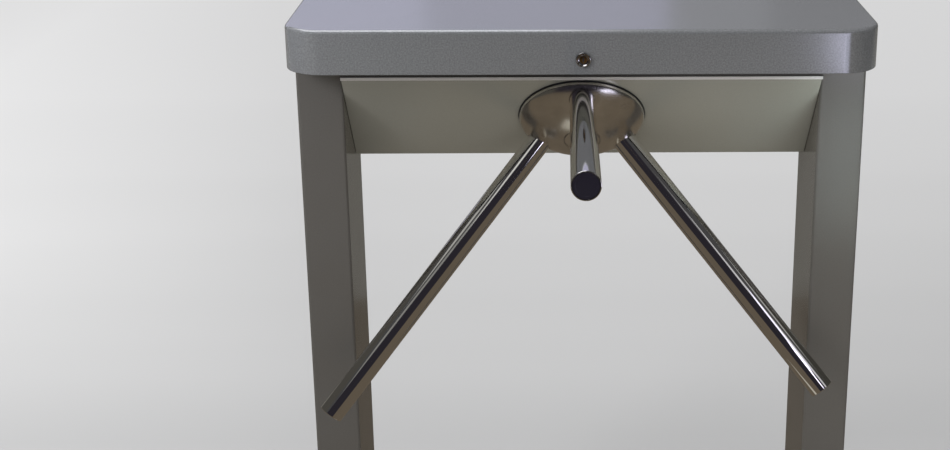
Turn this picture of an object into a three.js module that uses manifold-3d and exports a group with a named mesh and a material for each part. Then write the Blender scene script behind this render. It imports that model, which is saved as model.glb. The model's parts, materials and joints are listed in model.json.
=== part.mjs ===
// Waist-high tripod turnstile: two folded legs, a lidded housing between them and a rotor with three arms.
// Millimetres, +X to the right, +Y to the back, +Z up. The origin is on the floor under the middle of
// the whole outline, and the pieces are laid out from the front faces of the legs.
import * as THREE from 'three';
import { mergeVertices } from 'three/addons/utils/BufferGeometryUtils.js';
import Module from 'manifold-3d';

const wasm = await Module();
wasm.setup();

// Driving dimensions
const totalHeight = 1000;
const clearWidth = 616;
const seatGap = 0.3;
const overrun = 5;

// Legs, feet and anchors
const legWidth = 60;
const legDepth = 150;
const legWall = 2;
const legBend = 6;
const legTopGap = 0.5;
const footThickness = 8;
const footSideMargin = 8;
const footEndMargin = 50;
const footCorner = 10;
const anchorInset = 24;
const anchorRadius = 6;
const anchorHoleGap = 1;
const anchorHeadRadius = 11;
const anchorHeadHeight = 8;
const anchorWasherRadius = 15;
const anchorWasherThickness = 2;

// Lid
const lidSideOverhang = 4;
const lidDepth = 280;
const lidFrontReach = 80;
const lidSkirt = 56;
const lidWall = 2;
const lidCorner = 50;
const lidEdge = 5;

// Housing sheets
const sheetWall = 2;
const sheetBend = 4;
const panelSideGap = 0.5;
const panelTopReach = 24;
const panelTopDrop = 71;
const panelLength = 190;
const panelBottomFlange = 28;
const lipTopDrop = 24;
const lipFlange = 15;
const trayRearInset = 12;
const trayFrontLap = 6;
const trayFlange = 15;
const endPlateWall = 2.5;
const endPlateGap = 1.5;
const legBoltRadius = 5;
const legBoltHoleGap = 0.5;
const legBoltHeadRadius = 9;
const legBoltHeadHeight = 6;
const legBoltNutHeight = 8;
const legBoltTopInset = 40;
const legBoltFrontInset = 35;
const legBoltRearInset = 17;
const legBoltLowInset = 36;

// Hub and rotor, measured along the rotor's axis from the front face of the sloping panel
const hubTilt = THREE.MathUtils.degToRad(41.1);
const armAngle = THREE.MathUtils.degToRad(45);
const hubOpeningRadius = 75;
const sealRadius = 85.5;
const sealInnerRadius = 76;
const sealHeight = 4;
const sealEdge = 1.5;
const domeRadius = 82;
const domeRimStart = 4.5;
const domeRimEdge = 3;
const domeHeight = 38;
const bossRadius = 72;
const bossDepth = 18;
const hubCoreRadius = 21;
const hubCoreDepth = 30;
const hubSocketStart = 6;
const hubCapRadius = 24;
const hubCapSink = 4;
const hubCapProud = 0.8;
const hubCapEdge = 1.2;
const armRadius = 16;
const armWall = 1.2;
const armApexDepth = 47;
const blockingArmReach = 530;
const leftArmReach = 547;
const rightArmReach = 515;
const armTurn = THREE.MathUtils.degToRad(0.57);
const armStart = 62;
const armBoreGap = 0.5;
const capDiscRadius = 15.2;
const capDiscThickness = 2.5;
const capEdge = 0.8;
const capPlugLength = 18;
const setScrewRadius = 4;
const setScrewGap = 0.4;
const setScrewLift = THREE.MathUtils.degToRad(12);
const setScrewAlong = 78;
const setScrewEnd = 33;
const setScrewSocketRadius = 2.2;
const setScrewSocketDepth = 4;

// Shaft, bearings and mechanism chassis
const shaftRadius = 12;
const shaftEnd = 108;
const runningGap = 0.4;
const collarRadius = 17;
const collarStart = 31;
const collarEnd = 34;
const chassisDepth = 72;
const chassisWall = 4;
const chassisHalfWidth = 140;
const chassisFoot = 18;
const chassisBend = 6;
const chassisLow = 60;
const chassisHigh = 70;
const bearingHousingRadius = 26;
const bearingHousingStart = 38;
const bearingSeatRadius = 18;
const bearingFlangeRadius = 44;
const bearingFlangeThickness = 6;
const bushLength = 15;
const bushFlangeRadius = 22;
const bushFlangeThickness = 2.5;

// Index disc, centring cam and rear nut
const discGap = 3;
const discThickness = 5;
const discRadius = 52;
const discSlots = 12;
const discSlotFloorWidth = 8;
const discSlotRimWidth = 18;
const discSlotDepth = 8;
const camGap = 3;
const camThickness = 10;
const camMeanRadius = 26;
const camLobe = 2;
const nutRadius = 19;
const nutThickness = 6;

// Locking pawls, in the engaged position, from the rotor's axis
const pawlPivotAcross = 74;
const pawlPivotUp = 34;
const pawlSwing = THREE.MathUtils.degToRad(13.5);
const pawlTip = 46;
const pawlToothHalf = 3.2;
const pawlBack = 66;
const pawlHubRadius = 9;
const pawlTail = 22;
const pawlTailHalf = 6;
const pawlTailEnd = 29;
const pawlSlotHalf = 2.5;
const pawlSlotRun = 4;
const pawlPivotRadius = 4;
const pawlPivotHeadRadius = 7;
const pawlPivotHead = 2;

// Solenoids and plungers
const solenoidLength = 40;
const solenoidHeight = 24;
const solenoidDepth = 24;
const solenoidStart = 92;
const plungerRadius = 4.5;
const plungerLength = 26;
const plungerBoreGap = 0.5;
const plungerHeadLength = 22;
const plungerHeadHeight = 9;
const plungerHeadThickness = 6;
const plungerPinRadius = 2;

// Centring lever, its roller and its spring
const rollerRadius = 9;
const rollerLength = 9;
const rollerPinRadius = 3.6;
const rollerRestGap = 0.5;
const leverPivotAcross = 60;
const leverPivotUp = 46;
const leverThickness = 4;
const leverHalfWidth = 8;
const leverBoss = 7;
const leverPivotRadius = 4;
const springRadius = 7.5;
const springWireRadius = 1.1;
const springTurns = 6;
const springStepsPerTurn = 8;

// Electrics on the tray
const supplyLength = 110;
const supplyDepth = 55;
const supplyHeight = 38;
const supplySideInset = 28;
const supplyRearInset = 14;
const supplyFinWidth = 4;
const supplyFinDepth = 3;
const supplyFins = 9;
const boardWidth = 120;
const boardHeight = 78;
const boardThickness = 1.8;
const boardStandOff = 9;
const boardPostRadius = 3.5;
const boardPostInset = 7;
const boardSideInset = 40;
const boardRise = 30;
const boardPartHeights = [14, 10, 18, 8];
const boardPartWidths = [24, 16, 14, 22];
const boardPartPitch = 27;
const boardPartTall = 20;

// Hinge along the lid's rear edge
const hingeLength = 396;
const hingeKnuckles = 9;
const hingeKnuckleGap = 0.5;
const hingeKnuckleRadius = 3.6;
const hingePinRadius = 1.7;
const hingePinGap = 0.35;
const hingeLeafWall = 1.5;
const hingeLeafHeight = 28;
const hingeLeafClear = 4.4;
const hingeTab = 2.3;
const hingeDrop = 4;
const hingeRearInset = 7;

// Cam lock in the lid's front
const lockDrop = 37;
const lockBezelRadius = 9.5;
const lockBezel = 2.7;
const lockBezelEdge = 1;
const lockBarrelRadius = 7.6;
const lockBarrelLength = 18;
const lockHoleGap = 0.4;
const lockPlugRadius = 5;
const lockPlugSink = 0.8;
const lockKeyWidth = 1.3;
const lockKeyHeight = 6;
const lockKeyDepth = 5;
const lockNutRadius = 11.5;
const lockNutThickness = 4.5;
const lockCamThickness = 2;
const lockCamLength = 14;
const lockCamHalf = 5;
const lockTailGap = 2.4;
const keeperWall = 2;
const keeperWidth = 22;
const keeperAcross = 8;
const keeperClear = 2;
const keeperBack = 6;
const keeperTall = 17;

// Facets
const fineSides = 40;
const roundSides = 24;
const smallSides = 12;
const bendSteps = 4;
const cornerSteps = 7;
const outlineSteps = 3;
const domeSteps = 7;

const lidWidth = clearWidth + 2 * legWidth + 2 * lidSideOverhang;
const lidRear = lidDepth - lidFrontReach;
const tiltCos = Math.cos(hubTilt);
const tiltSin = Math.sin(hubTilt);
const panelTop = new THREE.Vector2(-panelTopReach, totalHeight - panelTopDrop);
const panelBottom = new THREE.Vector2(panelTop.x + panelLength * tiltSin, panelTop.y - panelLength * tiltCos);
const hubCentre = panelTop.clone().lerp(panelBottom, 0.5);
const lipTop = totalHeight - lipTopDrop;
const trayRear = lidRear - trayRearInset;
const trayFloor = panelBottom.y + sheetWall + seatGap;
const legInner = clearWidth / 2;

// Shapes and solids

// Merges equal corners, drops faces that have shrunk to a line and turns the faces outwards.
function closed(geometry) {
  geometry.deleteAttribute('normal');
  geometry.deleteAttribute('uv');
  const merged = mergeVertices(geometry);
  const place = merged.getAttribute('position');
  const index = merged.index.array;
  const kept = [];
  let volume = 0;
  const [a, b, c] = [new THREE.Vector3(), new THREE.Vector3(), new THREE.Vector3()];
  for (let i = 0; i < index.length; i += 3) {
    const [p, q, r] = [index[i], index[i + 1], index[i + 2]];
    if (p !== q && q !== r && r !== p) {
      kept.push(p, q, r);
      a.fromBufferAttribute(place, p);
      b.fromBufferAttribute(place, q);
      c.fromBufferAttribute(place, r);
      volume += a.dot(b.cross(c));
    }
  }
  if (volume < 0) {
    for (let i = 0; i < kept.length; i += 3) {
      [kept[i], kept[i + 1]] = [kept[i + 1], kept[i]];
    }
  }
  merged.setIndex(kept);
  return merged;
}

function solidOf(geometry) {
  const clean = closed(geometry);
  return new wasm.Manifold(new wasm.Mesh({
    numProp: 3,
    vertProperties: new Float32Array(clean.getAttribute('position').array),
    triVerts: new Uint32Array(clean.index.array),
  }));
}

function geometryOf(solid) {
  const { vertProperties, triVerts } = solid.getMesh();
  const geometry = new THREE.BufferGeometry();
  geometry.setAttribute('position', new THREE.BufferAttribute(new Float32Array(vertProperties), 3));
  geometry.setIndex(Array.from(triVerts));
  return geometry;
}

function cut(geometry, ...tools) {
  return geometryOf(tools.reduce((solid, tool) => solid.subtract(solidOf(tool)), solidOf(geometry)));
}

function join(geometry, ...more) {
  return geometryOf(more.reduce((solid, piece) => solid.add(solidOf(piece)), solidOf(geometry)));
}

function prism(shape, depth) {
  return new THREE.ExtrudeGeometry(shape, { depth, steps: 1, bevelEnabled: false, curveSegments: outlineSteps });
}

// A prism whose outline lies in the YZ plane and whose length runs along X.
function prismAlongX(shape, from, to) {
  const across = new THREE.Vector3(0, 1, 0);
  const up = new THREE.Vector3(0, 0, 1);
  const along = new THREE.Vector3(1, 0, 0);
  const turned = new THREE.Matrix4().makeBasis(across, up, along);
  return prism(shape, to - from).applyMatrix4(turned).translate(from, 0, 0);
}

// A prism whose outline lies in the XZ plane and whose length runs along Y.
function prismAlongY(shape, from, to) {
  return prism(shape, to - from).rotateX(Math.PI / 2).translate(0, to, 0);
}

function box(from, to) {
  const size = new THREE.Vector3().subVectors(to, from);
  const middle = new THREE.Vector3().addVectors(from, to).multiplyScalar(0.5);
  return new THREE.BoxGeometry(size.x, size.y, size.z).translate(middle.x, middle.y, middle.z);
}

// A solid of revolution about Z. Each point of the profile is a radius and a height.
function turned(profile, sides = roundSides) {
  const points = profile.map(([radius, height]) => new THREE.Vector2(radius, height));
  return new THREE.LatheGeometry(points, sides).rotateX(Math.PI / 2);
}

function disc(radius, low, high, sides = roundSides) {
  return turned([[0, low], [radius, low], [radius, high], [0, high]], sides);
}

function ring(inner, outer, low, high, sides = roundSides) {
  return turned([[inner, low], [outer, low], [outer, high], [inner, high], [inner, low]], sides);
}

function hexagon(radius, low, high) {
  return turned([[0, low], [radius, low], [radius, high], [0, high]], 6);
}

function polygon(points) {
  return new THREE.Shape(points.map(([x, y]) => new THREE.Vector2(x, y)));
}

// The outline of a sheet bent along a path. The path is the sheet's outer face and the sheet lies to its left.
function bentSheet(path, wall, bend) {
  const corners = path.map(([x, y]) => new THREE.Vector2(x, y));
  const heading = (i) => new THREE.Vector2().subVectors(corners[i + 1], corners[i]).normalize();
  const left = (d) => new THREE.Vector2(-d.y, d.x);
  const last = corners.length - 1;
  const middle = [];
  for (let i = 0; i <= last; i += 1) {
    const before = heading(Math.max(i - 1, 0));
    const after = heading(Math.min(i, last - 1));
    const normal = left(before).add(left(after)).normalize();
    const reach = wall / 2 / normal.dot(left(after));
    const place = corners[i].clone().addScaledVector(normal, reach);
    const turn = Math.atan2(before.cross(after), before.dot(after));
    if (i === 0 || i === last) {
      middle.push([place, left(after)]);
      continue;
    }
    const start = place.clone().addScaledVector(before, -bend * Math.tan(Math.abs(turn) / 2));
    const centre = start.clone().addScaledVector(left(before), bend * Math.sign(turn));
    for (let step = 0; step <= bendSteps; step += 1) {
      const normalHere = left(before).rotateAround(new THREE.Vector2(), (turn * step) / bendSteps);
      middle.push([centre.clone().addScaledVector(normalHere, -bend * Math.sign(turn)), normalHere]);
    }
  }
  const inner = middle.map(([p, n]) => p.clone().addScaledVector(n, wall / 2));
  const outer = middle.map(([p, n]) => p.clone().addScaledVector(n, -wall / 2));
  return new THREE.Shape([...outer, ...inner.reverse()]);
}

// Moves each side of a closed outline inwards by its own distance. The outline turns to the left.
function insetOutline(points, insets) {
  const corners = points.map(([x, y]) => new THREE.Vector2(x, y));
  const count = corners.length;
  const sides = corners.map((corner, i) => {
    const along = new THREE.Vector2().subVectors(corners[(i + 1) % count], corner).normalize();
    const inwards = new THREE.Vector2(-along.y, along.x);
    return { from: corner.clone().addScaledVector(inwards, insets[i]), along };
  });
  return new THREE.Shape(sides.map((side, i) => {
    const before = sides[(i + count - 1) % count];
    const offset = new THREE.Vector2().subVectors(side.from, before.from);
    const run = offset.cross(side.along) / before.along.cross(side.along);
    return before.from.clone().addScaledVector(before.along, run);
  }));
}

function roundedRectangle(width, depth, radius) {
  const shape = new THREE.Shape();
  const [x, y] = [width / 2 - radius, depth / 2 - radius];
  shape.absarc(x, y, radius, 0, Math.PI / 2);
  shape.absarc(-x, y, radius, Math.PI / 2, Math.PI);
  shape.absarc(-x, -y, radius, Math.PI, 1.5 * Math.PI);
  shape.absarc(x, -y, radius, 1.5 * Math.PI, 2 * Math.PI);
  return shape;
}

// A bar with round ends from one point to another.
function roundBar(from, to, half) {
  const angle = Math.atan2(to.y - from.y, to.x - from.x);
  const shape = new THREE.Shape();
  shape.absarc(from.x, from.y, half, angle + Math.PI / 2, angle + 1.5 * Math.PI);
  shape.absarc(to.x, to.y, half, angle - Math.PI / 2, angle + Math.PI / 2);
  return shape;
}

function circleOutline(x, y, radius, sides = roundSides) {
  const points = [];
  for (let i = 0; i < sides; i += 1) {
    const angle = (i * 2 * Math.PI) / sides;
    points.push(new THREE.Vector2(x + radius * Math.cos(angle), y + radius * Math.sin(angle)));
  }
  return new THREE.Path(points);
}

// A closed skin through rings of equally many corners, with a flat cap on the first and the last ring.
function loft(rings) {
  const count = rings[0].length;
  const corners = rings.flat();
  const faces = [];
  rings.slice(1).forEach((_, level) => {
    for (let i = 0; i < count; i += 1) {
      const next = (i + 1) % count;
      const [a, b] = [level * count + i, level * count + next];
      faces.push(a, b, b + count, a, b + count, a + count);
    }
  });
  const top = corners.length - count;
  for (let i = 1; i < count - 1; i += 1) {
    faces.push(0, i + 1, i, top, top + i, top + i + 1);
  }
  const geometry = new THREE.BufferGeometry();
  const places = corners.flatMap((corner) => [corner.x, corner.y, corner.z]);
  geometry.setAttribute('position', new THREE.Float32BufferAttribute(places, 3));
  geometry.setIndex(faces);
  return geometry;
}

// Materials and the list of nodes

const finishes = {
  coat: { color: 0x6b6e6f, roughness: 0.42, metalness: 0.55 },
  coatDark: { color: 0x56534f, roughness: 0.45, metalness: 0.5 },
  chrome: { color: 0xc9cbcd, roughness: 0.08, metalness: 1 },
  steel: { color: 0x9a9c9e, roughness: 0.35, metalness: 0.9 },
  black: { color: 0x151515, roughness: 0.55, metalness: 0 },
  brass: { color: 0xa8843f, roughness: 0.35, metalness: 0.9 },
  bronze: { color: 0x8a6a3c, roughness: 0.4, metalness: 0.8 },
  copper: { color: 0x3a2a22, roughness: 0.5, metalness: 0.3 },
  board: { color: 0x1f5a34, roughness: 0.6, metalness: 0 },
};

function piece(parent, name, finish, geometry) {
  const mesh = new THREE.Mesh(closed(geometry), new THREE.MeshStandardMaterial(finishes[finish]));
  mesh.name = name;
  parent.add(mesh);
  return mesh;
}

const sides = [['left', -1], ['right', 1]];
const turnstile = new THREE.Group();
const stand = new THREE.Group();
turnstile.add(stand);

// Legs and feet

function legBoltPlaces() {
  return [
    ['front', legBoltFrontInset, lipTop - legBoltTopInset],
    ['rear', legDepth - legBoltRearInset, trayFloor + legBoltLowInset],
  ];
}

function legBoltHole(radius, y, z, from, to) {
  return disc(radius, from, to, smallSides).rotateY(Math.PI / 2).translate(0, y, z);
}

function addLeg(side, sign) {
  const middle = sign * (legInner + legWidth / 2);
  const footTop = footThickness;
  const outline = roundedRectangle(legWidth, legDepth, legBend);
  outline.holes.push(roundedRectangle(legWidth - 2 * legWall, legDepth - 2 * legWall, legBend - legWall));
  const height = totalHeight - lidWall - legTopGap - footTop - seatGap;
  const tube = prism(outline, height).translate(middle, legDepth / 2, footTop + seatGap);
  const holes = legBoltPlaces().map(([, y, z]) => {
    const reach = legWall + overrun;
    return legBoltHole(legBoltRadius + legBoltHoleGap, y, z, -reach, reach).translate(sign * legInner, 0, 0);
  });
  piece(stand, `${side}_leg`, 'coatDark', cut(tube, ...holes));

  const foot = roundedRectangle(legWidth + 2 * footSideMargin, legDepth + 2 * footEndMargin, footCorner);
  const anchorReach = legDepth / 2 + footEndMargin - anchorInset;
  [-1, 1].forEach((end) => {
    foot.holes.push(circleOutline(0, end * anchorReach, anchorRadius + anchorHoleGap));
  });
  piece(stand, `${side}_foot_plate`, 'coatDark', prism(foot, footTop)).position.set(middle, legDepth / 2, 0);

  [['front', -1], ['rear', 1]].forEach(([end, way]) => {
    const washerTop = footTop + seatGap + anchorWasherThickness;
    const bolt = join(
      disc(anchorRadius, seatGap, washerTop + anchorHeadHeight, smallSides),
      disc(anchorWasherRadius, footTop + seatGap, washerTop, smallSides),
      hexagon(anchorHeadRadius, washerTop - seatGap, washerTop + anchorHeadHeight),
    );
    const anchor = piece(stand, `${side}_${end}_anchor_bolt`, 'steel', bolt);
    anchor.position.set(middle, legDepth / 2 + way * anchorReach, 0);
  });
}

sides.forEach(([side, sign]) => addLeg(side, sign));

// Housing

const rotorAxis = new THREE.Vector3(0, -tiltCos, -tiltSin);

function headGroup() {
  const head = new THREE.Group();
  head.position.set(0, hubCentre.x, hubCentre.y);
  head.rotation.x = Math.PI / 2 + hubTilt;
  head.updateMatrix();
  return head;
}

function addHousing() {
  const halfPanel = legInner - panelSideGap;
  const panelPath = [
    [-panelTopReach + lipFlange, lipTop],
    [-panelTopReach, lipTop],
    [panelTop.x, panelTop.y],
    [panelBottom.x, panelBottom.y],
    [panelBottom.x + panelBottomFlange, panelBottom.y],
  ];
  const panel = prismAlongX(bentSheet(panelPath, sheetWall, sheetBend), -halfPanel, halfPanel);
  const opening = disc(hubOpeningRadius, -overrun - sheetWall, overrun, fineSides);
  piece(stand, 'front_panel', 'coat', cut(panel, opening.applyMatrix4(headGroup().matrix)));

  const trayPath = [
    [panelBottom.x + trayFrontLap, trayFloor],
    [trayRear, trayFloor],
    [trayRear, lipTop],
    [trayRear - trayFlange, lipTop],
  ];
  piece(stand, 'rear_tray', 'coat', prismAlongX(bentSheet(trayPath, sheetWall, sheetBend), -halfPanel, halfPanel));

  const housingOutline = [
    [panelTop.x, panelTop.y],
    [panelBottom.x, panelBottom.y],
    [trayRear, panelBottom.y],
    [trayRear, lipTop],
    [panelTop.x, lipTop],
  ];
  const clear = sheetWall + endPlateGap;
  const insets = [clear, trayFloor - panelBottom.y + clear, clear, clear, clear];
  sides.forEach(([side, sign]) => {
    const plate = prismAlongX(insetOutline(housingOutline, insets), -endPlateWall, 0);
    const holes = legBoltPlaces().map(([, y, z]) => {
      const reach = endPlateWall + overrun;
      return legBoltHole(legBoltRadius + legBoltHoleGap, y, z, -reach, overrun);
    });
    const outward = sign > 0 ? cut(plate, ...holes) : cut(plate, ...holes).scale(-1, 1, 1);
    piece(stand, `${side}_end_plate`, 'coat', outward).position.x = sign * halfPanel;
  });

  sides.forEach(([side, sign]) => {
    legBoltPlaces().forEach(([place, y, z]) => {
      const headSide = -(panelSideGap + endPlateWall + seatGap);
      const nutSide = legWall + seatGap;
      const bolt = join(
        disc(legBoltRadius, headSide - legBoltHeadHeight, nutSide + legBoltNutHeight, smallSides),
        hexagon(legBoltHeadRadius, headSide - legBoltHeadHeight, headSide),
        hexagon(legBoltHeadRadius, nutSide, nutSide + legBoltNutHeight),
      );
      const turnedBolt = piece(stand, `${side}_${place}_leg_bolt`, 'steel', bolt);
      turnedBolt.rotation.y = (sign * Math.PI) / 2;
      turnedBolt.position.set(sign * legInner, y, z);
    });
  });
}

addHousing();

// Lid, its hinge and its lock

function lidRing(inset, height) {
  const radius = lidCorner - inset;
  const [x, y] = [lidWidth / 2 - lidCorner, lidDepth / 2 - lidCorner];
  const corners = [[x, y], [-x, y], [-x, -y], [x, -y]];
  return corners.flatMap(([cx, cy], quarter) => {
    const points = [];
    for (let step = 0; step <= cornerSteps; step += 1) {
      const angle = ((quarter + step / cornerSteps) * Math.PI) / 2;
      points.push(new THREE.Vector3(cx + radius * Math.cos(angle), cy + radius * Math.sin(angle), height));
    }
    return points;
  });
}

function lidRings(inset, top, edge) {
  const rings = [];
  for (let step = 0; step <= bendSteps; step += 1) {
    const angle = ((step / bendSteps) * Math.PI) / 2;
    rings.push(lidRing(inset + edge - edge * Math.cos(angle), top - edge + edge * Math.sin(angle)));
  }
  return rings;
}

function addLid() {
  const outer = lidRings(0, totalHeight, lidEdge);
  const inner = lidRings(lidWall, totalHeight - lidWall, lidEdge - lidWall);
  const low = totalHeight - lidSkirt;
  const shell = loft([...inner.reverse(), lidRing(lidWall, low), lidRing(0, low), ...outer]);
  shell.translate(0, lidDepth / 2 - lidFrontReach, 0);
  const lockHole = disc(lockBarrelRadius + lockHoleGap, -overrun - lidWall, overrun, roundSides);
  lockHole.rotateX(Math.PI / 2).translate(0, -lidFrontReach, totalHeight - lockDrop);
  piece(stand, 'lid', 'coat', cut(shell, lockHole));
}

function addHinge() {
  const pitch = hingeLength / hingeKnuckles;
  const axisY = lidRear - hingeRearInset;
  const axisZ = totalHeight - lidSkirt - hingeDrop;
  const trayFace = trayRear - axisY + seatGap;
  const lidFace = hingeRearInset - lidWall - seatGap;
  const leafShape = (face, inwards, way) => polygon(
    [
      [face, way * hingeLeafClear],
      [face + inwards * hingeLeafWall, way * hingeLeafClear],
      [face + inwards * hingeLeafWall, way * hingeLeafHeight],
      [face, way * hingeLeafHeight],
    ],
  );
  const tabShape = (face, inwards, way) => polygon(
    [
      [face, 0],
      [face + inwards * hingeTab, 0],
      [face + inwards * hingeTab, way * hingeKnuckleRadius],
      [face + inwards * hingeLeafWall, way * (hingeLeafClear + hingeLeafWall)],
      [face, way * (hingeLeafClear + hingeLeafWall)],
    ],
  );
  const knuckleSpans = (first) => {
    const spans = [];
    for (let i = first; i < hingeKnuckles; i += 2) {
      spans.push([-hingeLength / 2 + i * pitch + hingeKnuckleGap / 2, pitch - hingeKnuckleGap]);
    }
    return spans;
  };
  const leaf = (face, inwards, way, first) => {
    const plate = prismAlongX(leafShape(face, inwards, way), -hingeLength / 2, hingeLength / 2);
    const knuckles = knuckleSpans(first).flatMap(([from, length]) => [
      disc(hingeKnuckleRadius, 0, length, smallSides).rotateY(Math.PI / 2).translate(from, 0, 0),
      prismAlongX(tabShape(face, inwards, way), from, from + length),
    ]);
    const bore = disc(hingePinRadius + hingePinGap, -hingeLength, hingeLength, smallSides).rotateY(Math.PI / 2);
    return cut(join(plate, ...knuckles), bore);
  };
  const place = (mesh) => mesh.position.set(0, axisY, axisZ);
  place(piece(stand, 'tray_hinge_leaf', 'steel', leaf(trayFace, 1, -1, 0)));
  place(piece(stand, 'lid_hinge_leaf', 'steel', leaf(lidFace, -1, 1, 1)));
  const pin = disc(hingePinRadius, -hingeLength / 2, hingeLength / 2, smallSides).rotateY(Math.PI / 2);
  place(piece(stand, 'hinge_pin', 'steel', pin));
}

// The lock's own group has its Z axis out of the lid's front face.
function addLock() {
  const lock = new THREE.Group();
  lock.position.set(0, -lidFrontReach, totalHeight - lockDrop);
  lock.rotation.x = Math.PI / 2;
  stand.add(lock);

  const plugBore = lockPlugRadius + lockHoleGap;
  const bezelTop = seatGap + lockBezel;
  const body = turned([
    [plugBore, -lockBarrelLength],
    [lockBarrelRadius, -lockBarrelLength],
    [lockBarrelRadius, seatGap],
    [lockBezelRadius, seatGap],
    [lockBezelRadius, bezelTop - lockBezelEdge],
    [lockBezelRadius - lockBezelEdge, bezelTop],
    [plugBore, bezelTop],
    [plugBore, -lockBarrelLength],
  ]);
  piece(lock, 'lock_body', 'chrome', body);

  const plugTop = bezelTop - lockPlugSink;
  const tail = lockBarrelLength + lockTailGap;
  const keyway = box(
    new THREE.Vector3(-lockKeyWidth / 2, -lockKeyHeight / 2, plugTop - lockKeyDepth),
    new THREE.Vector3(lockKeyWidth / 2, lockKeyHeight / 2, plugTop + overrun),
  );
  piece(lock, 'lock_plug', 'brass', cut(disc(lockPlugRadius, -tail, plugTop), keyway));

  const nutTop = -lidWall - seatGap;
  const nut = cut(
    hexagon(lockNutRadius, nutTop - lockNutThickness, nutTop),
    disc(lockBarrelRadius + lockHoleGap, -lockBarrelLength, seatGap),
  );
  piece(lock, 'lock_nut', 'steel', nut);

  const camFar = tail + seatGap + lockCamThickness;
  const bar = roundBar(new THREE.Vector2(), new THREE.Vector2(0, -lockCamLength), lockCamHalf);
  piece(lock, 'lock_cam', 'steel', prism(bar, lockCamThickness)).position.z = -camFar;

  // The keeper is an angle on the panel's lip. The turned cam lies under its shelf.
  const shelfLow = totalHeight - lockDrop + lockCamHalf + keeperClear;
  const shelfTop = shelfLow + keeperWall;
  const lipFace = -panelTopReach - seatGap;
  const shelfFront = -lidFrontReach + camFar - lockCamThickness - keeperBack;
  const angle = polygon(
    [
      [lipFace, shelfTop],
      [shelfFront, shelfTop],
      [shelfFront, shelfLow],
      [lipFace - keeperWall, shelfLow],
      [lipFace - keeperWall, shelfTop - keeperTall],
      [lipFace, shelfTop - keeperTall],
    ],
  );
  const keeper = prismAlongX(angle, keeperAcross, keeperAcross + keeperWidth);
  piece(stand, 'lock_keeper', 'steel', keeper);
}

addLid();
addHinge();
addLock();

// Rotor. The head's own Z axis is the rotor's axis, pointing out of the panel, and its Y axis runs up the slope.

const head = headGroup();
stand.add(head);

const armWay = new THREE.Vector3(0, Math.sin(armAngle), Math.cos(armAngle));
const armApex = new THREE.Vector3(0, 0, -armApexDepth);
const domeRise = (domeHeight - domeRimStart - domeRimEdge)
  / Math.sqrt(1 - ((hubCapRadius + seatGap) / domeRadius) ** 2);

function alongArm(geometry) {
  const turn = new THREE.Quaternion().setFromUnitVectors(new THREE.Vector3(0, 0, 1), armWay);
  return geometry.applyQuaternion(turn).translate(armApex.x, armApex.y, armApex.z);
}

// The set screw crosses the arm from the side, on a line that rises towards the dome.
function alongSetScrew(geometry) {
  const lift = new THREE.Vector3(0, -Math.cos(armAngle), Math.sin(armAngle)).multiplyScalar(Math.sin(setScrewLift));
  const way = new THREE.Vector3(Math.cos(setScrewLift), 0, 0).add(lift);
  const turn = new THREE.Quaternion().setFromUnitVectors(new THREE.Vector3(0, 0, 1), way);
  const foot = armApex.clone().addScaledVector(armWay, setScrewAlong);
  return geometry.applyQuaternion(turn).translate(foot.x, foot.y, foot.z);
}

function domeProfile() {
  const points = [];
  const rimTop = domeRimStart + domeRimEdge;
  const inner = Math.acos((hubCapRadius + seatGap) / domeRadius);
  for (let step = 0; step <= domeSteps; step += 1) {
    const angle = (inner * step) / domeSteps;
    points.push([domeRadius * Math.cos(angle), rimTop + domeRise * Math.sin(angle)]);
  }
  return points;
}

function addHub() {
  const capSeat = domeHeight - hubCapSink;
  const socket = shaftRadius + seatGap;
  const casting = turned([
    [0, -hubSocketStart],
    [socket, -hubSocketStart],
    [socket, -hubCoreDepth],
    [hubCoreRadius, -hubCoreDepth],
    [hubCoreRadius, -bossDepth],
    [bossRadius, -bossDepth],
    [bossRadius, domeRimStart],
    [domeRadius, domeRimStart],
    ...domeProfile(),
    [hubCapRadius + seatGap, capSeat],
    [0, capSeat],
  ], fineSides);
  const cuts = [];
  for (let arm = 0; arm < 3; arm += 1) {
    const turn = armTurn + (arm * 2 * Math.PI) / 3;
    const boreRadius = armRadius + armBoreGap;
    cuts.push(alongArm(disc(boreRadius, armStart - seatGap, armStart + 2 * domeRadius)).rotateZ(turn));
    const screwBore = disc(setScrewRadius + setScrewGap, armRadius / 2, setScrewEnd + domeRadius, smallSides);
    cuts.push(alongSetScrew(screwBore).rotateZ(turn));
  }
  piece(head, 'hub', 'chrome', cut(casting, ...cuts));

  const capTop = domeHeight + hubCapProud;
  const cap = turned([
    [0, capSeat + seatGap],
    [hubCapRadius, capSeat + seatGap],
    [hubCapRadius, capTop - hubCapEdge],
    [hubCapRadius - hubCapEdge, capTop],
    [0, capTop],
  ], fineSides);
  piece(head, 'hub_cap', 'chrome', cap);

  const seal = turned([
    [sealInnerRadius, seatGap],
    [sealRadius, seatGap],
    [sealRadius, sealHeight - sealEdge],
    [sealRadius - sealEdge, sealHeight],
    [sealInnerRadius, sealHeight],
    [sealInnerRadius, seatGap],
  ], fineSides);
  piece(head, 'hub_seal', 'black', seal);
}

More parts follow.
